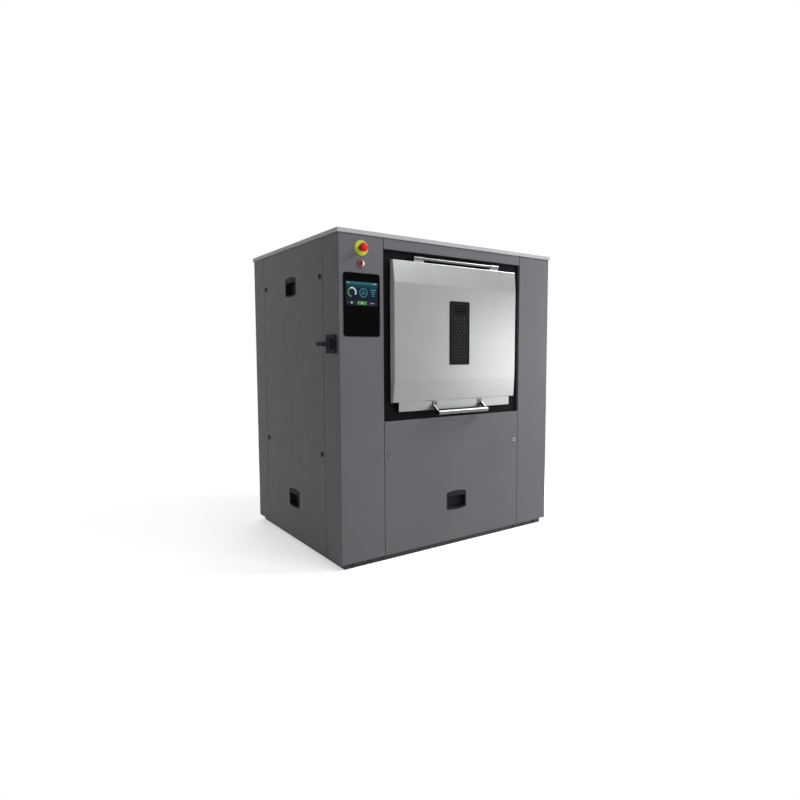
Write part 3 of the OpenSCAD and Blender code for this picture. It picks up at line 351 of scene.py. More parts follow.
# Corner panels, side panels, service panels and header strips. Sheet steel folded on all
# sides and coated in a dark grey enamel with a fine texture.
cabinet_grey = enamel("cabinet_grey", (0.094, 0.0935, 0.101), rough=0.42, grain=0.2, shine=0.11, speck=0.05)
for node in ("corner_panel_front_left", "corner_panel_front_right", "corner_panel_rear_left",
             "corner_panel_rear_right", "header_strips", "front_panel", "rear_panel",
             "side_panel_left", "side_panel_right"):
    dress(node, cabinet_grey, bevel=0.0009)

# Lid. A tray of sheet steel, folded down along its edges and coated in light grey enamel,
# that lies over the top rails and the panels.
lid_grey = enamel("lid_grey", (0.29, 0.29, 0.295), rough=0.4, grain=0.2)
dress("lid", lid_grey, bevel=0.0018, segments=3)

# Door surrounds, seals, hinge bars and lock boxes. A deep black frame is let into each
# front; its saddles carry the bar that the door hangs from, and a seal lies round the mouth.
surround_black = enamel("surround_black", (0.0045, 0.0038, 0.0052), rough=0.45, grain=0.12, shine=0.04)
dress("door_surrounds", surround_black, bevel=0.0009)


def rubber(name, colour, rough=0.7):
    """Moulded rubber: dark, dry and slightly dusty."""
    skin = Shader(name)
    dust = skin.noise(60.0, detail=6.0)
    dusty = tuple(c * 1.7 + 0.004 for c in colour)
    return skin.finish(Base_Color=skin.blend(skin.between(0.0, 1.0, dust), colour, dusty),
                       Roughness=skin.between(rough - 0.1, rough + 0.1, dust),
                       Normal=skin.bump(skin.noise(1400.0), 0.2, 0.0003), Specular_IOR_Level=0.2)


seal_rubber = rubber("seal_rubber", (0.014, 0.014, 0.015))
dress("door_seals", seal_rubber, bevel=0.003, segments=3)


def steel(name, colour, rough, brush=(5.0, 900.0, 900.0), depth=0.015, spread=0.035, stain=0.02):
    """Ground or polished stainless steel: fine lines one way, broad unevenness and faint smears."""
    metal = Shader(name)
    lines = metal.noise(1.0, brush, detail=6.0, roughness=0.65)
    smear = metal.noise(5.0, detail=5.0)
    dark = tuple(c * (1.0 - stain) for c in colour)
    light = tuple(min(1.0, c * (1.0 + stain)) for c in colour)
    tint = metal.blend(metal.between(0.0, 1.0, smear * 0.6 + lines * 0.4), dark, light)
    gloss = metal.between(rough - spread, rough + spread, lines * 0.7 + smear * 0.3)
    ground = metal.bump(lines, depth, 0.0002)
    return metal.finish(Base_Color=tint, Metallic=1.0, Roughness=gloss, Normal=ground)


polished_bar = steel("polished_bar", (0.135, 0.133, 0.138), 0.27, (3.0, 700.0, 700.0), depth=0.03,
                     spread=0.05, stain=0.12)
dress("hinge_bars", polished_bar, bevel=0.001)


def plastic(name, colour, rough=0.5, grain=0.25, shine=0.4):
    """Moulded plastic: one colour with a fine grain and worn, slightly shinier high spots."""
    skin = Shader(name)
    fine = skin.noise(1800.0, detail=2.0)
    wear = skin.noise(25.0, detail=5.0)
    dark, light = tuple(c * 0.92 for c in colour), tuple(c * 1.08 for c in colour)
    gloss = skin.between(rough - 0.07, rough + 0.07, wear * 0.6 + fine * 0.4)
    return skin.finish(Base_Color=skin.blend(skin.between(0.0, 1.0, wear), dark, light), Roughness=gloss,
                       Normal=skin.bump(fine, grain, 0.0002), Specular_IOR_Level=shine)


black_plastic = plastic("black_plastic", (0.016, 0.0142, 0.019), rough=0.5, shine=0.04)
dress("door_locks", black_plastic, bevel=0.001)

# Doors, one at each front. A folded stainless skin is fixed on a flat stainless pan. The pan
# hangs from the hinge bar by two knuckles and has a pull bar on two arms screwed to its foot.
fronts = (("front", 1), ("rear", -1))
knuckle_in, knuckle_out = 0.2275, 0.2905
door_steel = steel("door_steel", (0.285, 0.29, 0.293), 0.29, (6.0, 1500.0, 1500.0))
mill = Shader("mill_steel")
mill_lines = mill.noise(1.0, (900.0, 900.0, 8.0), detail=5.0)
mill_steel = mill.finish(Base_Color=mill.blend(mill_lines, (0.3, 0.3, 0.31), (0.36, 0.36, 0.375)),
                         Roughness=mill.between(0.5, 0.6, mill_lines), Metallic=0.35, Specular_IOR_Level=0.5)


def quarter(steps):
    """The angles of a quarter turn in equal steps, without the first."""
    return [math.radians(90 / steps * i) for i in range(1, steps + 1)]


def door_skin(front, way):
    """The folded tray of one door: three bands with soft folds, drawn-in sides and round corners.

    Its lower flange is open where the pan passes and its upper flange where the knuckles pass.
    It stands off the cabinet by edge at its rim and by middle between its two folds, which lie
    a fold from its ends, and draft is how far its sides draw in on the way there."""
    low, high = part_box("door_skin_" + front)
    front_y, back, edge, middle = -0.565, -0.5578, 0.0115, 0.021
    half, tall, pan, sheet = high.x, high.z - low.z, 0.3843, 0.002
    draft, fold, soft, corner, hair = 0.007, 0.113, 0.005, 0.005, 0.0001
    fold_steps, corner_steps, side_steps = 10, 6, 5

    def reach(z):
        """Where the skin's face lies at a height, with each fold rounded."""
        at = min(z - low.z, high.z - z)
        if at <= fold - soft:
            out = at / fold
        elif at >= fold + soft:
            out = 1.0
        else:
            out = 1.0 - soft / fold * (1.0 - (at - fold + soft) / (2 * soft)) ** 2
        return front_y - edge - (middle - edge) * out

    def round_end(z, inward, turns):
        """The rows of the round corner between the face and the flange at one end."""
        return [(reach(z) + corner * (1 - math.cos(turn)), z + inward * corner * (1 - math.sin(turn)))
                for turn in turns]

    turns = quarter(corner_steps)
    lower = [fold - soft + 2 * soft * i / fold_steps for i in range(fold_steps + 1)]
    upper = [tall - h for h in reversed(lower)]
    rows = [(back, low.z)] + round_end(low.z, 1, turns[::-1])
    rows += [(reach(low.z + h), low.z + h) for h in lower + upper]
    rows += round_end(high.z, -1, turns) + [(back, high.z)]
    stops = [-pan, -knuckle_out, -knuckle_in, knuckle_in, knuckle_out, pan]
    points, faces, finishes = [], [], []
    for y, z in rows:
        wide = half - draft * max(0.0, front_y - y) / middle
        r = min(corner, (back - y) * 0.9)
        side = [(-half, back), (-wide, y + r + hair)]
        side += [(-wide + r * (1 - math.cos(turn)), y + r * (1 - math.sin(turn)))
                 for turn in quarter(side_steps)]
        line = side + [(x, y) for x in stops] + [(-x, d) for x, d in reversed(side)]
        points += [(x, d, z) for x, d in line]
    across = len(points) // len(rows)
    for i in range(len(rows) - 1):
        for j in range(across - 1):
            a = i * across + j
            x = (points[a][0] + points[a + 1][0]) / 2
            pan_slot = i == 0 and abs(x) < pan
            knuckle_slot = i == len(rows) - 2 and knuckle_in < abs(x) < knuckle_out
            if not (pan_slot or knuckle_slot):
                faces.append((a, a + 1, a + 1 + across, a + across)[::way])
                finishes.append(int(j in (0, across - 2)))
    places = [(x, y * way, z) for x, y, z in points]
    mesh = mesh_of("door_skin_" + front, places, faces, door_steel, mill_steel)
    mesh.polygons.foreach_set("material_index", finishes)
    smooth(mesh, 32)
    made = added("door_skin_%s_folded" % front, mesh)
    wall = made.modifiers.new("sheet", "SOLIDIFY")
    wall.thickness, wall.offset = sheet, -1.0
    even_flats(made, keep_sharp=True)
    settle(made)
    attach(made, front + "_door")
    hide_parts("door_skin_" + front)


pan_steel = steel("pan_steel", (0.26, 0.265, 0.268), 0.34, (4.0, 500.0, 500.0))
bar_low, bar_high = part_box("hinge_bars")
hinge_z = (bar_low.z + bar_high.z) / 2
knuckle_x, knuckle_reach = (knuckle_in + knuckle_out) / 2, 0.04
for front, way in fronts:
    door_skin(front, way)
    dress("door_body_" + front, [pan_steel, polished_bar], bevel=0.0009,
          cores=[(x, hinge_z, knuckle_reach) for x in (-knuckle_x, knuckle_x)])
    dress("door_handle_" + front, polished_bar, bevel=0.0009)

# Grip plates. Moulded black plastic with a raised rim, fixed on the skin of each door, and a
# finger window near the top whose inside is painted darker as the shade of the recess.
grip_black = plastic("grip_black", (0.006, 0.0052, 0.0072), rough=0.4, grain=0.3, shine=0.06)
# The window's inside is painted darker than the plate, as shade of the recess.
window_black = plastic("window_black", (0.0025, 0.0022, 0.003), rough=0.3, grain=0.05, shine=0.06)
window_drop, window_reach = 0.044, 0.0476


def grip_face(front, way):
    """The y of a grip plate's face and the z of its upper edge."""
    low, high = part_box("door_grip_" + front)
    return (low.y if way > 0 else high.y), high.z


for front, way in fronts:
    face_y, top_z = grip_face(front, way)
    dress("door_grip_" + front, [grip_black, window_black], bevel=0.0005,
          cores=[(0.0, top_z - window_drop, window_reach)])


# Studs of the grip plates. Low domes in staggered rows of three and two, one in each dimple of
# the plate, in a lighter black that is painted highlight on the dots.
class Pattern(Tree):
    """A Geometry Nodes tree that repeats one small piece. Its named inputs are its sizes."""

    kinds = {float: "NodeSocketFloat", int: "NodeSocketInt", tuple: "NodeSocketVector",
             bpy.types.Material: "NodeSocketMaterial"}

    def __init__(self, name, **sizes):
        group = bpy.data.node_groups.new(name, "GeometryNodeTree")
        super().__init__(group)
        group.interface.new_socket("Geometry", in_out="OUTPUT", socket_type="NodeSocketGeometry")
        for key, value in sizes.items():
            group.interface.new_socket(key, in_out="INPUT", socket_type=self.kinds[type(value)])
        self.name, self.sizes = name, sizes
        self.inputs = group.nodes.new("NodeGroupInput")

    def size(self, name):
        return Wire(self, self.inputs.outputs[name])

    def vector(self, x=0.0, y=0.0, z=0.0):
        return self.node("ShaderNodeCombineXYZ", {}, [x, y, z])

    def moved(self, geometry, offset=(0.0, 0.0, 0.0), turn=(0.0, 0.0, 0.0), grow=(1.0, 1.0, 1.0)):
        return self.node("GeometryNodeTransform", {}, {
            "Geometry": geometry, "Translation": offset, "Rotation": turn, "Scale": grow})

    def joined(self, *parts):
        made = self.tree.nodes.new("GeometryNodeJoinGeometry")
        for part in parts:
            self.tree.links.new(part.socket, made.inputs[0])
        return Wire(self, made.outputs[0])

    def line(self, count, step, start=(0.0, 0.0, 0.0)):
        """Points from a start, each a step beyond the last."""
        return self.node("GeometryNodeMeshLine", {"mode": "OFFSET"}, {
            "Count": count, "Start Location": start, "Offset": step})

    def row(self, count, pitch, z=0.0):
        """Points along X at a height, with their middle on the axis."""
        return self.line(count, self.vector(pitch), self.vector((1.0 - count) * pitch * 0.5, 0.0, z))

    def placed(self, points, piece, rotation=(0.0, 0.0, 0.0)):
        """A copy of a piece at each point."""
        copies = self.node("GeometryNodeInstanceOnPoints", {}, {
            "Points": points, "Instance": piece, "Rotation": rotation})
        return self.node("GeometryNodeRealizeInstances", {}, [copies])

    def close(self, geometry, smooth=True):
        """Ends the tree in one plain mesh with its shading and the finish that is its input."""
        solid = self.node("GeometryNodeRealizeInstances", {}, [geometry])
        solid = self.node("GeometryNodeSetShadeSmooth", {}, {"Geometry": solid, "Shade Smooth": smooth})
        solid = self.node("GeometryNodeSetMaterial", {}, {"Geometry": solid, "Material": self.size("finish")})
        out = self.tree.nodes.new("NodeGroupOutput")
        self.tree.links.new(solid.socket, out.inputs[0])

    def build(self, name, body, slot, **sizes):
        """One plain mesh of this pattern, with its own sizes, that rides on a body."""
        made = added(name, bpy.data.meshes.new(name))
        pattern = made.modifiers.new(self.name, "NODES")
        pattern.node_group = self.tree
        for item in self.tree.interface.items_tree:
            if item.in_out == "INPUT":
                pattern[item.identifier] = sizes.get(item.name, self.sizes[item.name])
        settle(made)
        made.data.set_sharp_from_angle(angle=math.radians(30))
        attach(made, body)


# A lighter black than the plate, as painted highlight on the studs.
stud_black = plastic("stud_black", (0.05, 0.046, 0.054), rough=0.35, grain=0.1, shine=0.3)
stud_drop, stud_sink, stud_flat = 0.092, 0.0026, 0.55
studs = Pattern("grip_studs", rows=14, pitch=0.017, spread=0.03, radius=0.0029, top=(0.0, 0.0, 0.0),
                finish=stud_black)
spread, pitch = studs.size("spread"), studs.size("pitch")
dome = studs.node("GeometryNodeMeshIcoSphere", {}, {"Radius": studs.size("radius"), "Subdivisions": 2})
dome = studs.moved(dome, grow=(1.0, stud_flat, 1.0))
pair = studs.joined(studs.row(3, spread), studs.row(2, spread, pitch * -1.0))
column = studs.line(studs.size("rows") * 0.5, studs.vector(0.0, 0.0, pitch * -2.0), studs.size("top"))
studs.close(studs.placed(studs.placed(column, pair), dome))
for front, way in fronts:
    face_y, top_z = grip_face(front, way)
    studs.build("grip_studs_" + front, front + "_door", "black_plastic",
                top=(0.0, face_y + stud_sink * way, top_z - stud_drop))


# Ribs of the grip plates. Three bars with rounded fronts are moulded across each finger
# window, in one with the plate and from the same black plastic.
def mesh_from(name, shape, finish):
    """A mesh from a finished shape, with its one finish."""
    mesh = mesh_of(name, [], [], finish)
    shape.to_mesh(mesh)
    shape.free()
    return mesh


rib_wide, rib_deep, rib_sink, rib_round = 0.0799, 0.0035, 0.0031, 0.0008
for front, way in fronts:
    face_y, top_z = grip_face(front, way)
    shape = bmesh.new()
    for z, tall in ((0.013, 0.0045), (-0.002, 0.0045), (-0.015, 0.003)):
        rib = bmesh.ops.create_cube(shape, size=1.0)["verts"]
        bmesh.ops.scale(shape, vec=(rib_wide, rib_deep, tall), verts=rib)
        bmesh.ops.translate(shape, vec=(0.0, face_y + rib_sink * way, top_z - window_drop + z), verts=rib)
    bmesh.ops.bevel(shape, geom=shape.edges[:], offset=rib_round, segments=3, affect="EDGES")
    ribs = added("grip_ribs_" + front, mesh_from("grip_ribs_" + front, shape, grip_black))
    smooth(ribs.data, 40)
    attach(ribs, front + "_door")

# Screws of the pull bar arms. Blackened cap screws with a hexagon socket, two in each arm,
# one above the other, hold the bar to the foot of the door.
screw_black = enamel("screw_black", (0.02, 0.02, 0.022), rough=0.35)
arm_face_y, lower_screw_z = -0.5756, 0.781
cap_screw = Pattern("socket_screws", radius=0.0042, height=0.0034, key=0.0024, at=(0.0, 0.0, 0.0),
                    gap_x=0.308, gap_z=0.019, way=1.0, finish=screw_black)
height = cap_screw.size("height")
head = cap_screw.node("GeometryNodeMeshCylinder", {}, {
    "Vertices": 24, "Radius": cap_screw.size("radius"), "Depth": height})
key = cap_screw.node("GeometryNodeMeshCylinder", {}, {
    "Vertices": 6, "Radius": cap_screw.size("key"), "Depth": height})
key = cap_screw.moved(key, offset=cap_screw.vector(0.0, 0.0, height * 0.5))
head = cap_screw.node("GeometryNodeMeshBoolean", {"operation": "DIFFERENCE"}, {"Mesh 1": head, "Mesh 2": key})
head = cap_screw.moved(head, turn=cap_screw.vector(cap_screw.size("way") * (math.pi / 2)))
upright = cap_screw.line(2, cap_screw.vector(0.0, 0.0, cap_screw.size("gap_z")), cap_screw.size("at"))
sides = cap_screw.row(2, cap_screw.size("gap_x"))
cap_screw.close(cap_screw.placed(cap_screw.placed(sides, upright), head))
for front, way in fronts:
    cap_screw.build("arm_screws_" + front, front + "_door", "screw_steel", way=float(way),
                    at=(0.0, arm_face_y * way, lower_screw_z))

# Handle cups, quarter-turn locks and screws. Black moulded cups and blackened screws, and
# turned locks that are plated at the front and black on the side panel.
dress("handle_cups", black_plastic, bevel=0.0008)
dress("cabinet_screws", screw_black, bevel=0.0006)
lock_plate = steel("lock_plate", (0.17, 0.17, 0.18), 0.2, (400.0, 400.0, 400.0), depth=0.05)
key_reach = 0.0056
for corner in ("front_left", "front_right"):
    lock_low, lock_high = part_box("lock_" + corner)
    lock_r = (lock_high.z - lock_low.z) / 2
    lock_x = lock_high.x - lock_r if corner == "front_left" else lock_low.x + lock_r
    dress("lock_" + corner, [lock_plate, screw_black], bevel=0.0005,
          cores=[(lock_x, lock_low.z + lock_r, key_reach)])
for number in "1234":
    dress("lock_side_" + number, black_plastic, bevel=0.0006)

# Emergency stops, selector and main switch. Moulded plastic devices held through round
# holes in the corner panels: a red mushroom on a yellow disc, a small round selector whose
# knob carries a painted reflection on one half.
stop_yellow = plastic("stop_yellow", (0.42, 0.45, 0.038), rough=0.42, grain=0.08, shine=0.2)
stop_red = plastic("stop_red", (0.46, 0.008, 0.011), rough=0.38, grain=0.06, shine=0.15)
collar_red = plastic("collar_red", (0.045, 0.006, 0.009), rough=0.4, grain=0.1)
selector_red = plastic("selector_red", (0.17, 0.035, 0.045), rough=0.4, grain=0.06)
# The half of the knob towards +X is painted light as a reflection; the other half is dark red.
knob = Shader("selector_knob")
knob_low, knob_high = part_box("selector_knob")
knob_x = knob.node("ShaderNodeSeparateXYZ", {}, [knob.place()], output="X")
knob_reflection_half = knob_x > (knob_low.x + knob_high.x) / 2
knob_painted_reflection = knob.finish(Base_Color=knob.blend(knob_reflection_half, (0.09, 0.012, 0.018), (0.6, 0.42, 0.42)),
                         Roughness=knob.between(0.3, 0.42, knob.noise(60.0)), Specular_IOR_Level=0.3)
collar_reach = 0.016
stop_low, stop_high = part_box("stop_plates")
stop_x, stop_z = (stop_low.x + stop_high.x) / 2, (stop_low.z + stop_high.z) / 2
dress("stop_plates", [stop_yellow, collar_red], bevel=0.0006,
      cores=[(stop_x, stop_z, collar_reach)])
for front in ("front", "rear"):
    dress("stop_button_" + front, stop_red, bevel=0.0008)
dress("selector_ring", selector_red, bevel=0.0006)
dress("selector_knob", knob_painted_reflection, bevel=0.0006)
dress("main_switch_plate", black_plastic, bevel=0.001)
dress("main_switch_handle", black_plastic, bevel=0.0015)

# Control glass and touch screen. Black glass with rounded corners is set into the front left
# corner panel, over a display that shows a cycle in progress.
glass = Shader("control_glass")
glass_black = glass.finish(Base_Color=(0.0015, 0.0012, 0.0015), Specular_IOR_Level=0.025,
                           Roughness=glass.between(0.06, 0.1, glass.noise(30.0)))
dress("control_glass", glass_black, bevel=0.0006)
screen_low, screen_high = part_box("touch_screen")
screen_x, screen_z = (screen_low.x + screen_high.x) / 2, (screen_low.z + screen_high.z) / 2
panel = Shader("touch_screen")
panel_z = panel.node("ShaderNodeSeparateXYZ", {}, [panel.place()], output="Z")
glow = panel.node("ShaderNodeValToRGB", {"stops": [
    (0.0, (0.003, 0.005, 0.012)), (0.4, (0.003, 0.008, 0.019)),
    (0.75, (0.003, 0.019, 0.033)), (1.0, (0.01, 0.085, 0.105))]},
    [panel.between(0.0, 1.0, panel_z, screen_low.z, screen_high.z)])
screen_blue = panel.finish(Base_Color=(0.003, 0.004, 0.005), Emission_Color=glow, Emission_Strength=1.0,
                           Roughness=panel.between(0.12, 0.16, panel.noise(40.0)), Specular_IOR_Level=0.07)
dress("touch_screen", screen_blue)


def lit(name, colour):
    """One lit colour of the display, a little uneven as on a back-lit panel."""
    skin = Shader(name)
    cloud = skin.between(0.0, 1.0, skin.noise(80.0))
    return skin.finish(Base_Color=(0.002, 0.002, 0.002), Roughness=0.15, Specular_IOR_Level=0.07,
                       Emission_Color=skin.blend(cloud, tuple(c * 0.93 for c in colour), colour),
                       Emission_Strength=1.0)


tile_step, tile_depth = 0.00008, 0.00006


def on_screen(name, finish, layer, outlines):
    """Thin closed tiles that lie on the display, given as outlines in millimetres from its middle."""
    shape = bmesh.new()
    face_y = screen_low.y - tile_step * layer
    for outline in outlines:
        sides = [[shape.verts.new((screen_x + x / 1000, y, screen_z + z / 1000)) for x, z in outline]
                 for y in (face_y, face_y + tile_depth)]
        for side in sides:
            shape.faces.new(side)
        for i in range(len(outline)):
            shape.faces.new((sides[0][i - 1], sides[0][i], sides[1][i], sides[1][i - 1]))
    bmesh.ops.recalc_face_normals(shape, faces=shape.faces)
    made = added(name, mesh_from(name, shape, finish))
    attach(made, "cabinet")


def arc(cx, cz, r, start, stop, steps):
    """Points on a circle from one angle in degrees to another."""
    turns = [math.radians(start + (stop - start) * i / steps) for i in range(steps + 1)]
    return [(cx + r * math.cos(turn), cz + r * math.sin(turn)) for turn in turns]


def ring(cx, cz, outer, inner, start, stop, steps=40):
    """The outline of a piece of a ring from one angle to another."""
    return arc(cx, cz, outer, start, stop, steps) + arc(cx, cz, inner, start, stop, steps)[::-1]


def tile(cx, cz, wide, tall, r=2.0):
    """A rectangle with round corners."""
    outline = []
    for sx, sz, start in ((1, 1, 0), (-1, 1, 90), (-1, -1, 180), (1, -1, 270)):
        outline += arc(cx + sx * (wide / 2 - r), cz + sz * (tall / 2 - r), r, start, start + 90, 3)
    return outline


def spoke(cx, cz, angle):
    """A wedge that points from the rim of the wheel to its hub."""
    base_r, tip_r, half = 17.6, 10, 9
    return [(cx + r * math.cos(math.radians(a)), cz + r * math.sin(math.radians(a)))
            for r, a in ((base_r, angle - half), (base_r, angle + half), (tip_r, angle))]


lit_white, lit_teal = lit("lit_white", (0.6, 0.66, 0.66)), lit("lit_teal", (0.05, 0.22, 0.25))
lit_green, lit_dark = lit("lit_green", (0.09, 0.24, 0.07)), lit("lit_dark", (0.016, 0.02, 0.035))
lit_line = lit("lit_line", (0.02, 0.14, 0.165))
# Places and sizes on the display, in millimetres from its middle.
bar_z, dial_z, key_z, key_x, key_tall = 50, 6, -43, 56, 17
gauge_x, gauge_r, gauge_bore = -54, 24, 17.5
wheel_x, wheel_r, wheel_bore, hub_r, hub_bore = 8, 22, 18.5, 8, 5
marks = [tile(-78 + 5 * i, bar_z, 3, 3, 0.8) for i in range(3)] + [tile(70, bar_z, 18, 2.4, 0.6)]
rims = [ring(wheel_x, dial_z, wheel_r, wheel_bore, angle, angle + 114) for angle in (93, 213, 333)]
hubs = [ring(wheel_x, dial_z, hub_r, hub_bore, angle, angle + 170, 20) for angle in (5, 185)]
spokes = [spoke(wheel_x, dial_z, angle) for angle in (90, 210, 330)]
levels = [tile(62, 22 - 10 * i, 30 - 6 * i, 4.5, 1.4) for i in range(4)]
play, stop_square = [(-3, key_z - 5), (-3, key_z + 5), (5, key_z)], tile(-key_x, key_z, 8, 8, 1)
dots = [tile(49 + 7 * i, key_z, 3.5, 3.5, 1) for i in range(3)]
on_screen("display_status", lit_line, 1, [tile(0, bar_z, 166, 7, 1.5)])
on_screen("display_marks", lit_white, 2, marks)
on_screen("display_gauge", lit_white, 2, [ring(gauge_x, dial_z, gauge_r, gauge_bore, -30, 120)])
on_screen("display_progress", lit_green, 2, [ring(gauge_x, dial_z, gauge_r, gauge_bore, 124, 262)])
on_screen("display_wheel", lit_teal, 2, rims + hubs + spokes)
on_screen("display_levels", lit_teal, 2, levels)
on_screen("display_keys", lit_dark, 2, [tile(x, key_z, 50, key_tall, 3) for x in (-key_x, key_x)])
on_screen("display_start", lit_green, 2, [tile(0, key_z, 52, key_tall, 3)])
on_screen("display_signs", lit_white, 3, [play, stop_square] + dots)

# Tub and its mountings. Rolled and welded stainless steel on four air springs and four
# dampers, which give between the base ring and the feet of the tub.
tub_steel = steel("tub_steel", (0.42, 0.43, 0.435), 0.42, (6.0, 300.0, 300.0))
damper_grey = enamel("damper_grey", (0.22, 0.22, 0.23), rough=0.4)
end_plate = 0.006
dress("tub_shell", tub_steel)
for node, finish, slot in (("air_springs", seal_rubber, "seal_rubber"),
                           ("dampers", damper_grey, "frame_steel")):
    low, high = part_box(node)
    ends = (0.0, 0.0, low.z + end_plate), (0.0, 0.0, high.z - end_plate)
    dress(node, finish, angle=50.0, across=ends)


# Bellows between the door mouths and the tub, with the sleeves of the drain and the water.
# Moulded rubber with deep folds, clamped at both ends, so that the tub can bounce.
def islands(node):
    """The separate solids of a CAD node, as lists of corner points with the faces on them."""
    shape = bmesh.new()
    shape.from_mesh(frame["nodes"][node].data)
    bmesh.ops.remove_doubles(shape, verts=shape.verts, dist=merge_gap)
    found, taken = [], set()
    for first in shape.verts:
        if first in taken:
            continue
        taken.add(first)
        group, waiting = [], [first]
        while waiting:
            vert = waiting.pop()
            group.append(vert)
            for link in vert.link_edges:
                other = link.other_vert(vert)
                if other not in taken:
                    taken.add(other)
                    waiting.append(other)
        number = {v: i for i, v in enumerate(group)}
        faces = [[number[v] for v in f.verts] for f in shape.faces if f.verts[0] in number]
        found.append(([tuple(v.co) for v in group], faces))
    shape.free()
    return found


def soft(name, points, faces, start, end):
    """A rubber piece that stays fixed where it is drawn; start and end are not used."""
    made = added(name, mesh_of(name, points, faces, seal_rubber))
    smooth(made.data, 50)
    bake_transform(made)
    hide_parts("tub_bellows")


def looped(rows):
    """The faces of a closed tube whose rows of points are closed rings too."""
    count, around = len(rows), len(rows[0])
    faces = []
    for i in range(count):
        for j in range(around):
            a, b = i * around, (i + 1) % count * around
            faces.append((a + j, b + j, b + (j + 1) % around, a + (j + 1) % around))
    return faces


def mouth_bellows(name, low, high, way):
    """A rounded oblong loop that runs along Y in three deep folds between two flat cuffs."""
    inset, wall, corner, clamp = 0.017, 0.003, 0.012, 0.004
    cuff_out, fold_out, cuff_share, folds = 0.0038, 0.0125, 0.14, 3
    steps, corner_steps = 40, 6
    half_x, half_z = high.x - inset - corner, (high.z - low.z) / 2 - inset - corner
    mid_z = (low.z + high.z) / 2
    outer = []
    for i in range(steps + 1):
        share = i / steps
        along = min(max((share - cuff_share) / (1 - 2 * cuff_share), 0.0), 1.0)
        swell = abs(math.sin(along * folds * math.pi))
        outer.append((low.y + (high.y - low.y) * share, cuff_out + fold_out * swell ** 0.8))
    path = outer + [(y, out - wall) for y, out in reversed(outer)]
    rows = []
    for y, out in path:
        row = []
        for sx, sz, start in ((1, 1, 0), (-1, 1, 90), (-1, -1, 180), (1, -1, 270)):
            turns = [math.radians(start + 90 / corner_steps * i) for i in range(corner_steps + 1)]
            row += [(sx * half_x + (corner + out) * math.cos(turn), y,
                     mid_z + sz * half_z + (corner + out) * math.sin(turn)) for turn in turns]
        rows.append(row)
    near, far = (low.y + clamp, high.y - clamp)[::way]
    soft(name, sum(rows, []), looped(rows), (0.0, near, 0.0), (0.0, far, 0.0))


aside = 0.3
for points, faces in islands("tub_bellows"):
    low = Vector([min(p[i] for p in points) for i in range(3)])
    high = Vector([max(p[i] for p in points) for i in range(3)])
    if high.y < -aside:
        mouth_bellows("mouth_bellows_front", low, high, 1)
    elif low.y > aside:
        mouth_bellows("mouth_bellows_rear", low, high, -1)
    elif low.x > aside:
        soft("water_sleeve", points, faces, (high.x, 0.0, 0.0), (low.x, 0.0, 0.0))
    else:
        soft("drain_sleeve", points, faces, (0.0, 0.0, low.z), (0.0, 0.0, high.z))

# Drum with its flaps. Perforated stainless sheet between pressed ends, with lifters inside
# and two flaps at the hatch that swing inward. The shafts run freely in their bearings.
drum_steel = steel("drum_steel", (0.42, 0.43, 0.44), 0.3, (40.0, 500.0, 500.0))
for node in ("drum_shell", "drum_ends", "drum_shafts", "drum_lifters", "drum_flap_upper", "drum_flap_lower"):
    dress(node, drum_steel)
drum_low, drum_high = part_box("drum_shell")
drum_z, drum_r = (drum_low.z + drum_high.z) / 2, (drum_high.z - drum_low.z) / 2
shaft_r, shaft_slack, shaft_ease = 0.035, 0.0005, 0.995
for vertex in bpy.data.objects["drum_shafts_dressed"].data.vertices:
    away = math.hypot(vertex.co.y, vertex.co.z - drum_z)
    if abs(away - shaft_r) < shaft_slack:
        vertex.co.y *= shaft_ease
        vertex.co.z = drum_z + (vertex.co.z - drum_z) * shaft_ease

# Perforations of the drum and its flaps. Small holes punched in rows from one edge of the hatch
# round to the other, every other row half a step along, and in three rows on each flap. They
# are shown as plugs painted near black as the shade seen through the holes, and they end just
# outside both faces of the sheet.
# The plugs are painted near black as the shade seen through the holes.
hole = Shader("hole_black")
hole_shade_plug = hole.finish(Base_Color=hole.blend(hole.noise(90.0), (0.004, 0.004, 0.004), (0.012, 0.012, 0.012)),
                        Roughness=0.8, Specular_IOR_Level=0.1)
holes = Pattern("perforations", radius=0.0028, wall=0.0034, drum=0.418, per_row=20, pitch=0.035, rows=29,
                turn=math.radians(10), first=0.0, middle=0.0, finish=hole_shade_plug)
plug = holes.node("GeometryNodeMeshCylinder", {}, {
    "Vertices": 8, "Radius": holes.size("radius"), "Depth": holes.size("wall")})
plug = holes.moved(plug, offset=holes.vector(0.0, 0.0, holes.size("drum")))
plug_row = holes.placed(holes.row(holes.size("per_row"), holes.size("pitch")), plug)
row_turn = holes.node("GeometryNodeInputIndex") * holes.size("turn") + holes.size("first")
turned = holes.placed(holes.line(holes.size("rows"), (0.0, 0.0, 0.0)), plug_row, holes.vector(row_turn))
holes.close(holes.moved(turned, offset=holes.vector(0.0, 0.0, holes.size("middle"))), smooth=False)
drum_sheet_r, flap_sheet_r = drum_r - 0.0015, drum_r - 0.002
for name, per_row, rows, first in (("even", 20, 29, -230), ("odd", 21, 28, -225)):
    holes.build("drum_holes_" + name, "drum", "seal_rubber", drum=drum_sheet_r, per_row=per_row, rows=rows,
                first=math.radians(first), middle=drum_z)
for flap, first, turn in (("upper", 84, -8), ("lower", 96, 8)):
    holes.build("flap_holes_" + flap, flap + "_flap", "seal_rubber", drum=flap_sheet_r, per_row=16, rows=3,
                first=math.radians(first), turn=math.radians(turn), middle=drum_z)


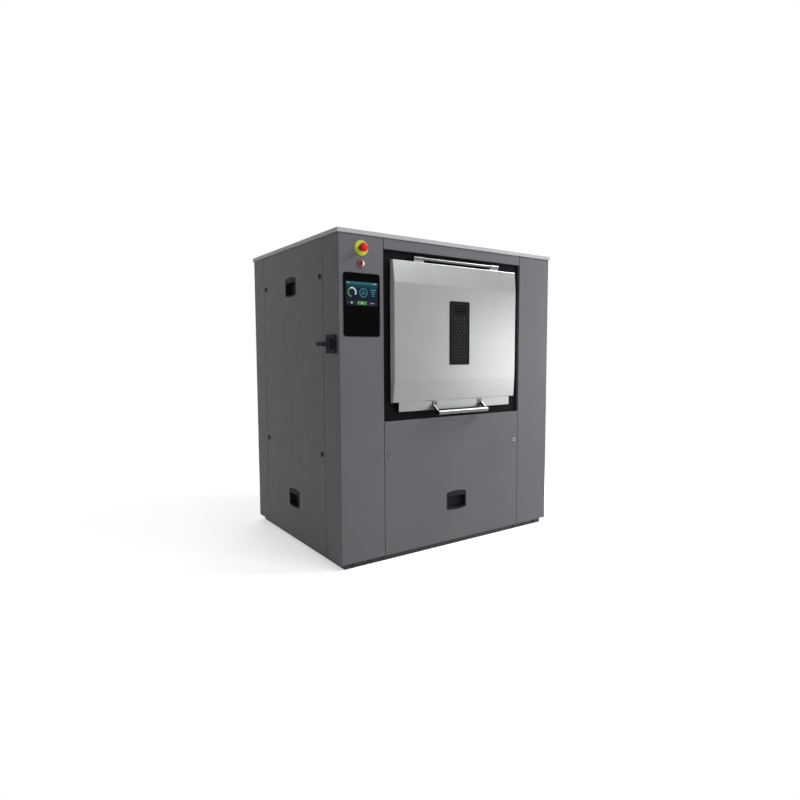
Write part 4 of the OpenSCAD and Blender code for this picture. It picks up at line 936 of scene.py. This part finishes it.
# Drive. A painted motor turns the drum through a ribbed rubber belt and two cast pulleys,
# and cast bearing housings carry the shafts on the tub's ends.
def ribbed_belt(finish):
    """The belt as a loop round the two pulleys, flat outside and with lengthwise ribs inside."""
    low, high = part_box("drive_belt")
    small_low, small_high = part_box("motor_pulley")
    thick, ribs, chamfer, groove, flank = 0.006, 7, 0.0008, 0.0022, 0.3
    motor_z = (small_low.z + small_high.z) / 2
    big_r, small_r = high.z - drum_z, motor_z - low.z
    lean = math.asin((big_r - small_r) / (drum_z - motor_z))
    rib = (high.x - low.x - 2 * chamfer) / ribs
    valley = thick - groove
    profile = [(low.x, chamfer), (low.x + chamfer, 0.0), (high.x - chamfer, 0.0), (high.x, chamfer),
               (high.x, valley)]
    for i in range(ribs):
        x = high.x - chamfer - rib * i
        profile += [(x, valley), (x - rib * flank, thick), (x - rib * (1 - flank), thick)]
    profile += [(low.x + chamfer, valley), (low.x, valley)]
    rows = []
    for z, r, start, stop, steps in ((drum_z, big_r, -lean, math.pi + lean, 72),
                                     (motor_z, small_r, math.pi + lean, 2 * math.pi - lean, 24)):
        turns = [start + (stop - start) * i / steps for i in range(steps + 1)]
        rows += [[(x, (r - inset) * math.cos(turn), z + (r - inset) * math.sin(turn)) for x, inset in profile]
                 for turn in turns]
    shape = bmesh.new()
    shape.from_mesh(mesh_of("belt_points", sum(rows, []), looped(rows)))
    bmesh.ops.recalc_face_normals(shape, faces=shape.faces)
    made = added("ribbed_belt", mesh_from("ribbed_belt", shape, finish))
    smooth(made.data, 25)
    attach(made, frame["nodes"]["drive_belt"]["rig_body"])
    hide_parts("drive_belt")


cast_grey = enamel("cast_grey", (0.06, 0.062, 0.066), rough=0.6, grain=0.5)
motor_blue = enamel("motor_blue", (0.03, 0.055, 0.08), rough=0.45, grain=0.3)
for node in ("bearing_units", "drum_pulley", "motor_pulley"):
    dress(node, cast_grey, bevel=0.0012)
dress("motor", motor_blue, bevel=0.001)
ribbed_belt(rubber("belt_rubber", (0.008, 0.008, 0.009), rough=0.6))

# Water, drain and electrical parts. Brass water pipes with collars, a moulded drain valve,
# a painted sheet steel box and the gland where the supply comes in.
pipe_brass = steel("pipe_brass", (0.42, 0.29, 0.13), 0.38, (20.0, 20.0, 20.0), stain=0.12)
box_grey = enamel("box_grey", (0.24, 0.25, 0.26), rough=0.5)
dress("water_inlets", pipe_brass, bevel=0.0006)
for node in ("drain_valve", "electrical_box"):
    dress(node, box_grey, bevel=0.0012)
dress("cable_gland", black_plastic, bevel=0.0006)
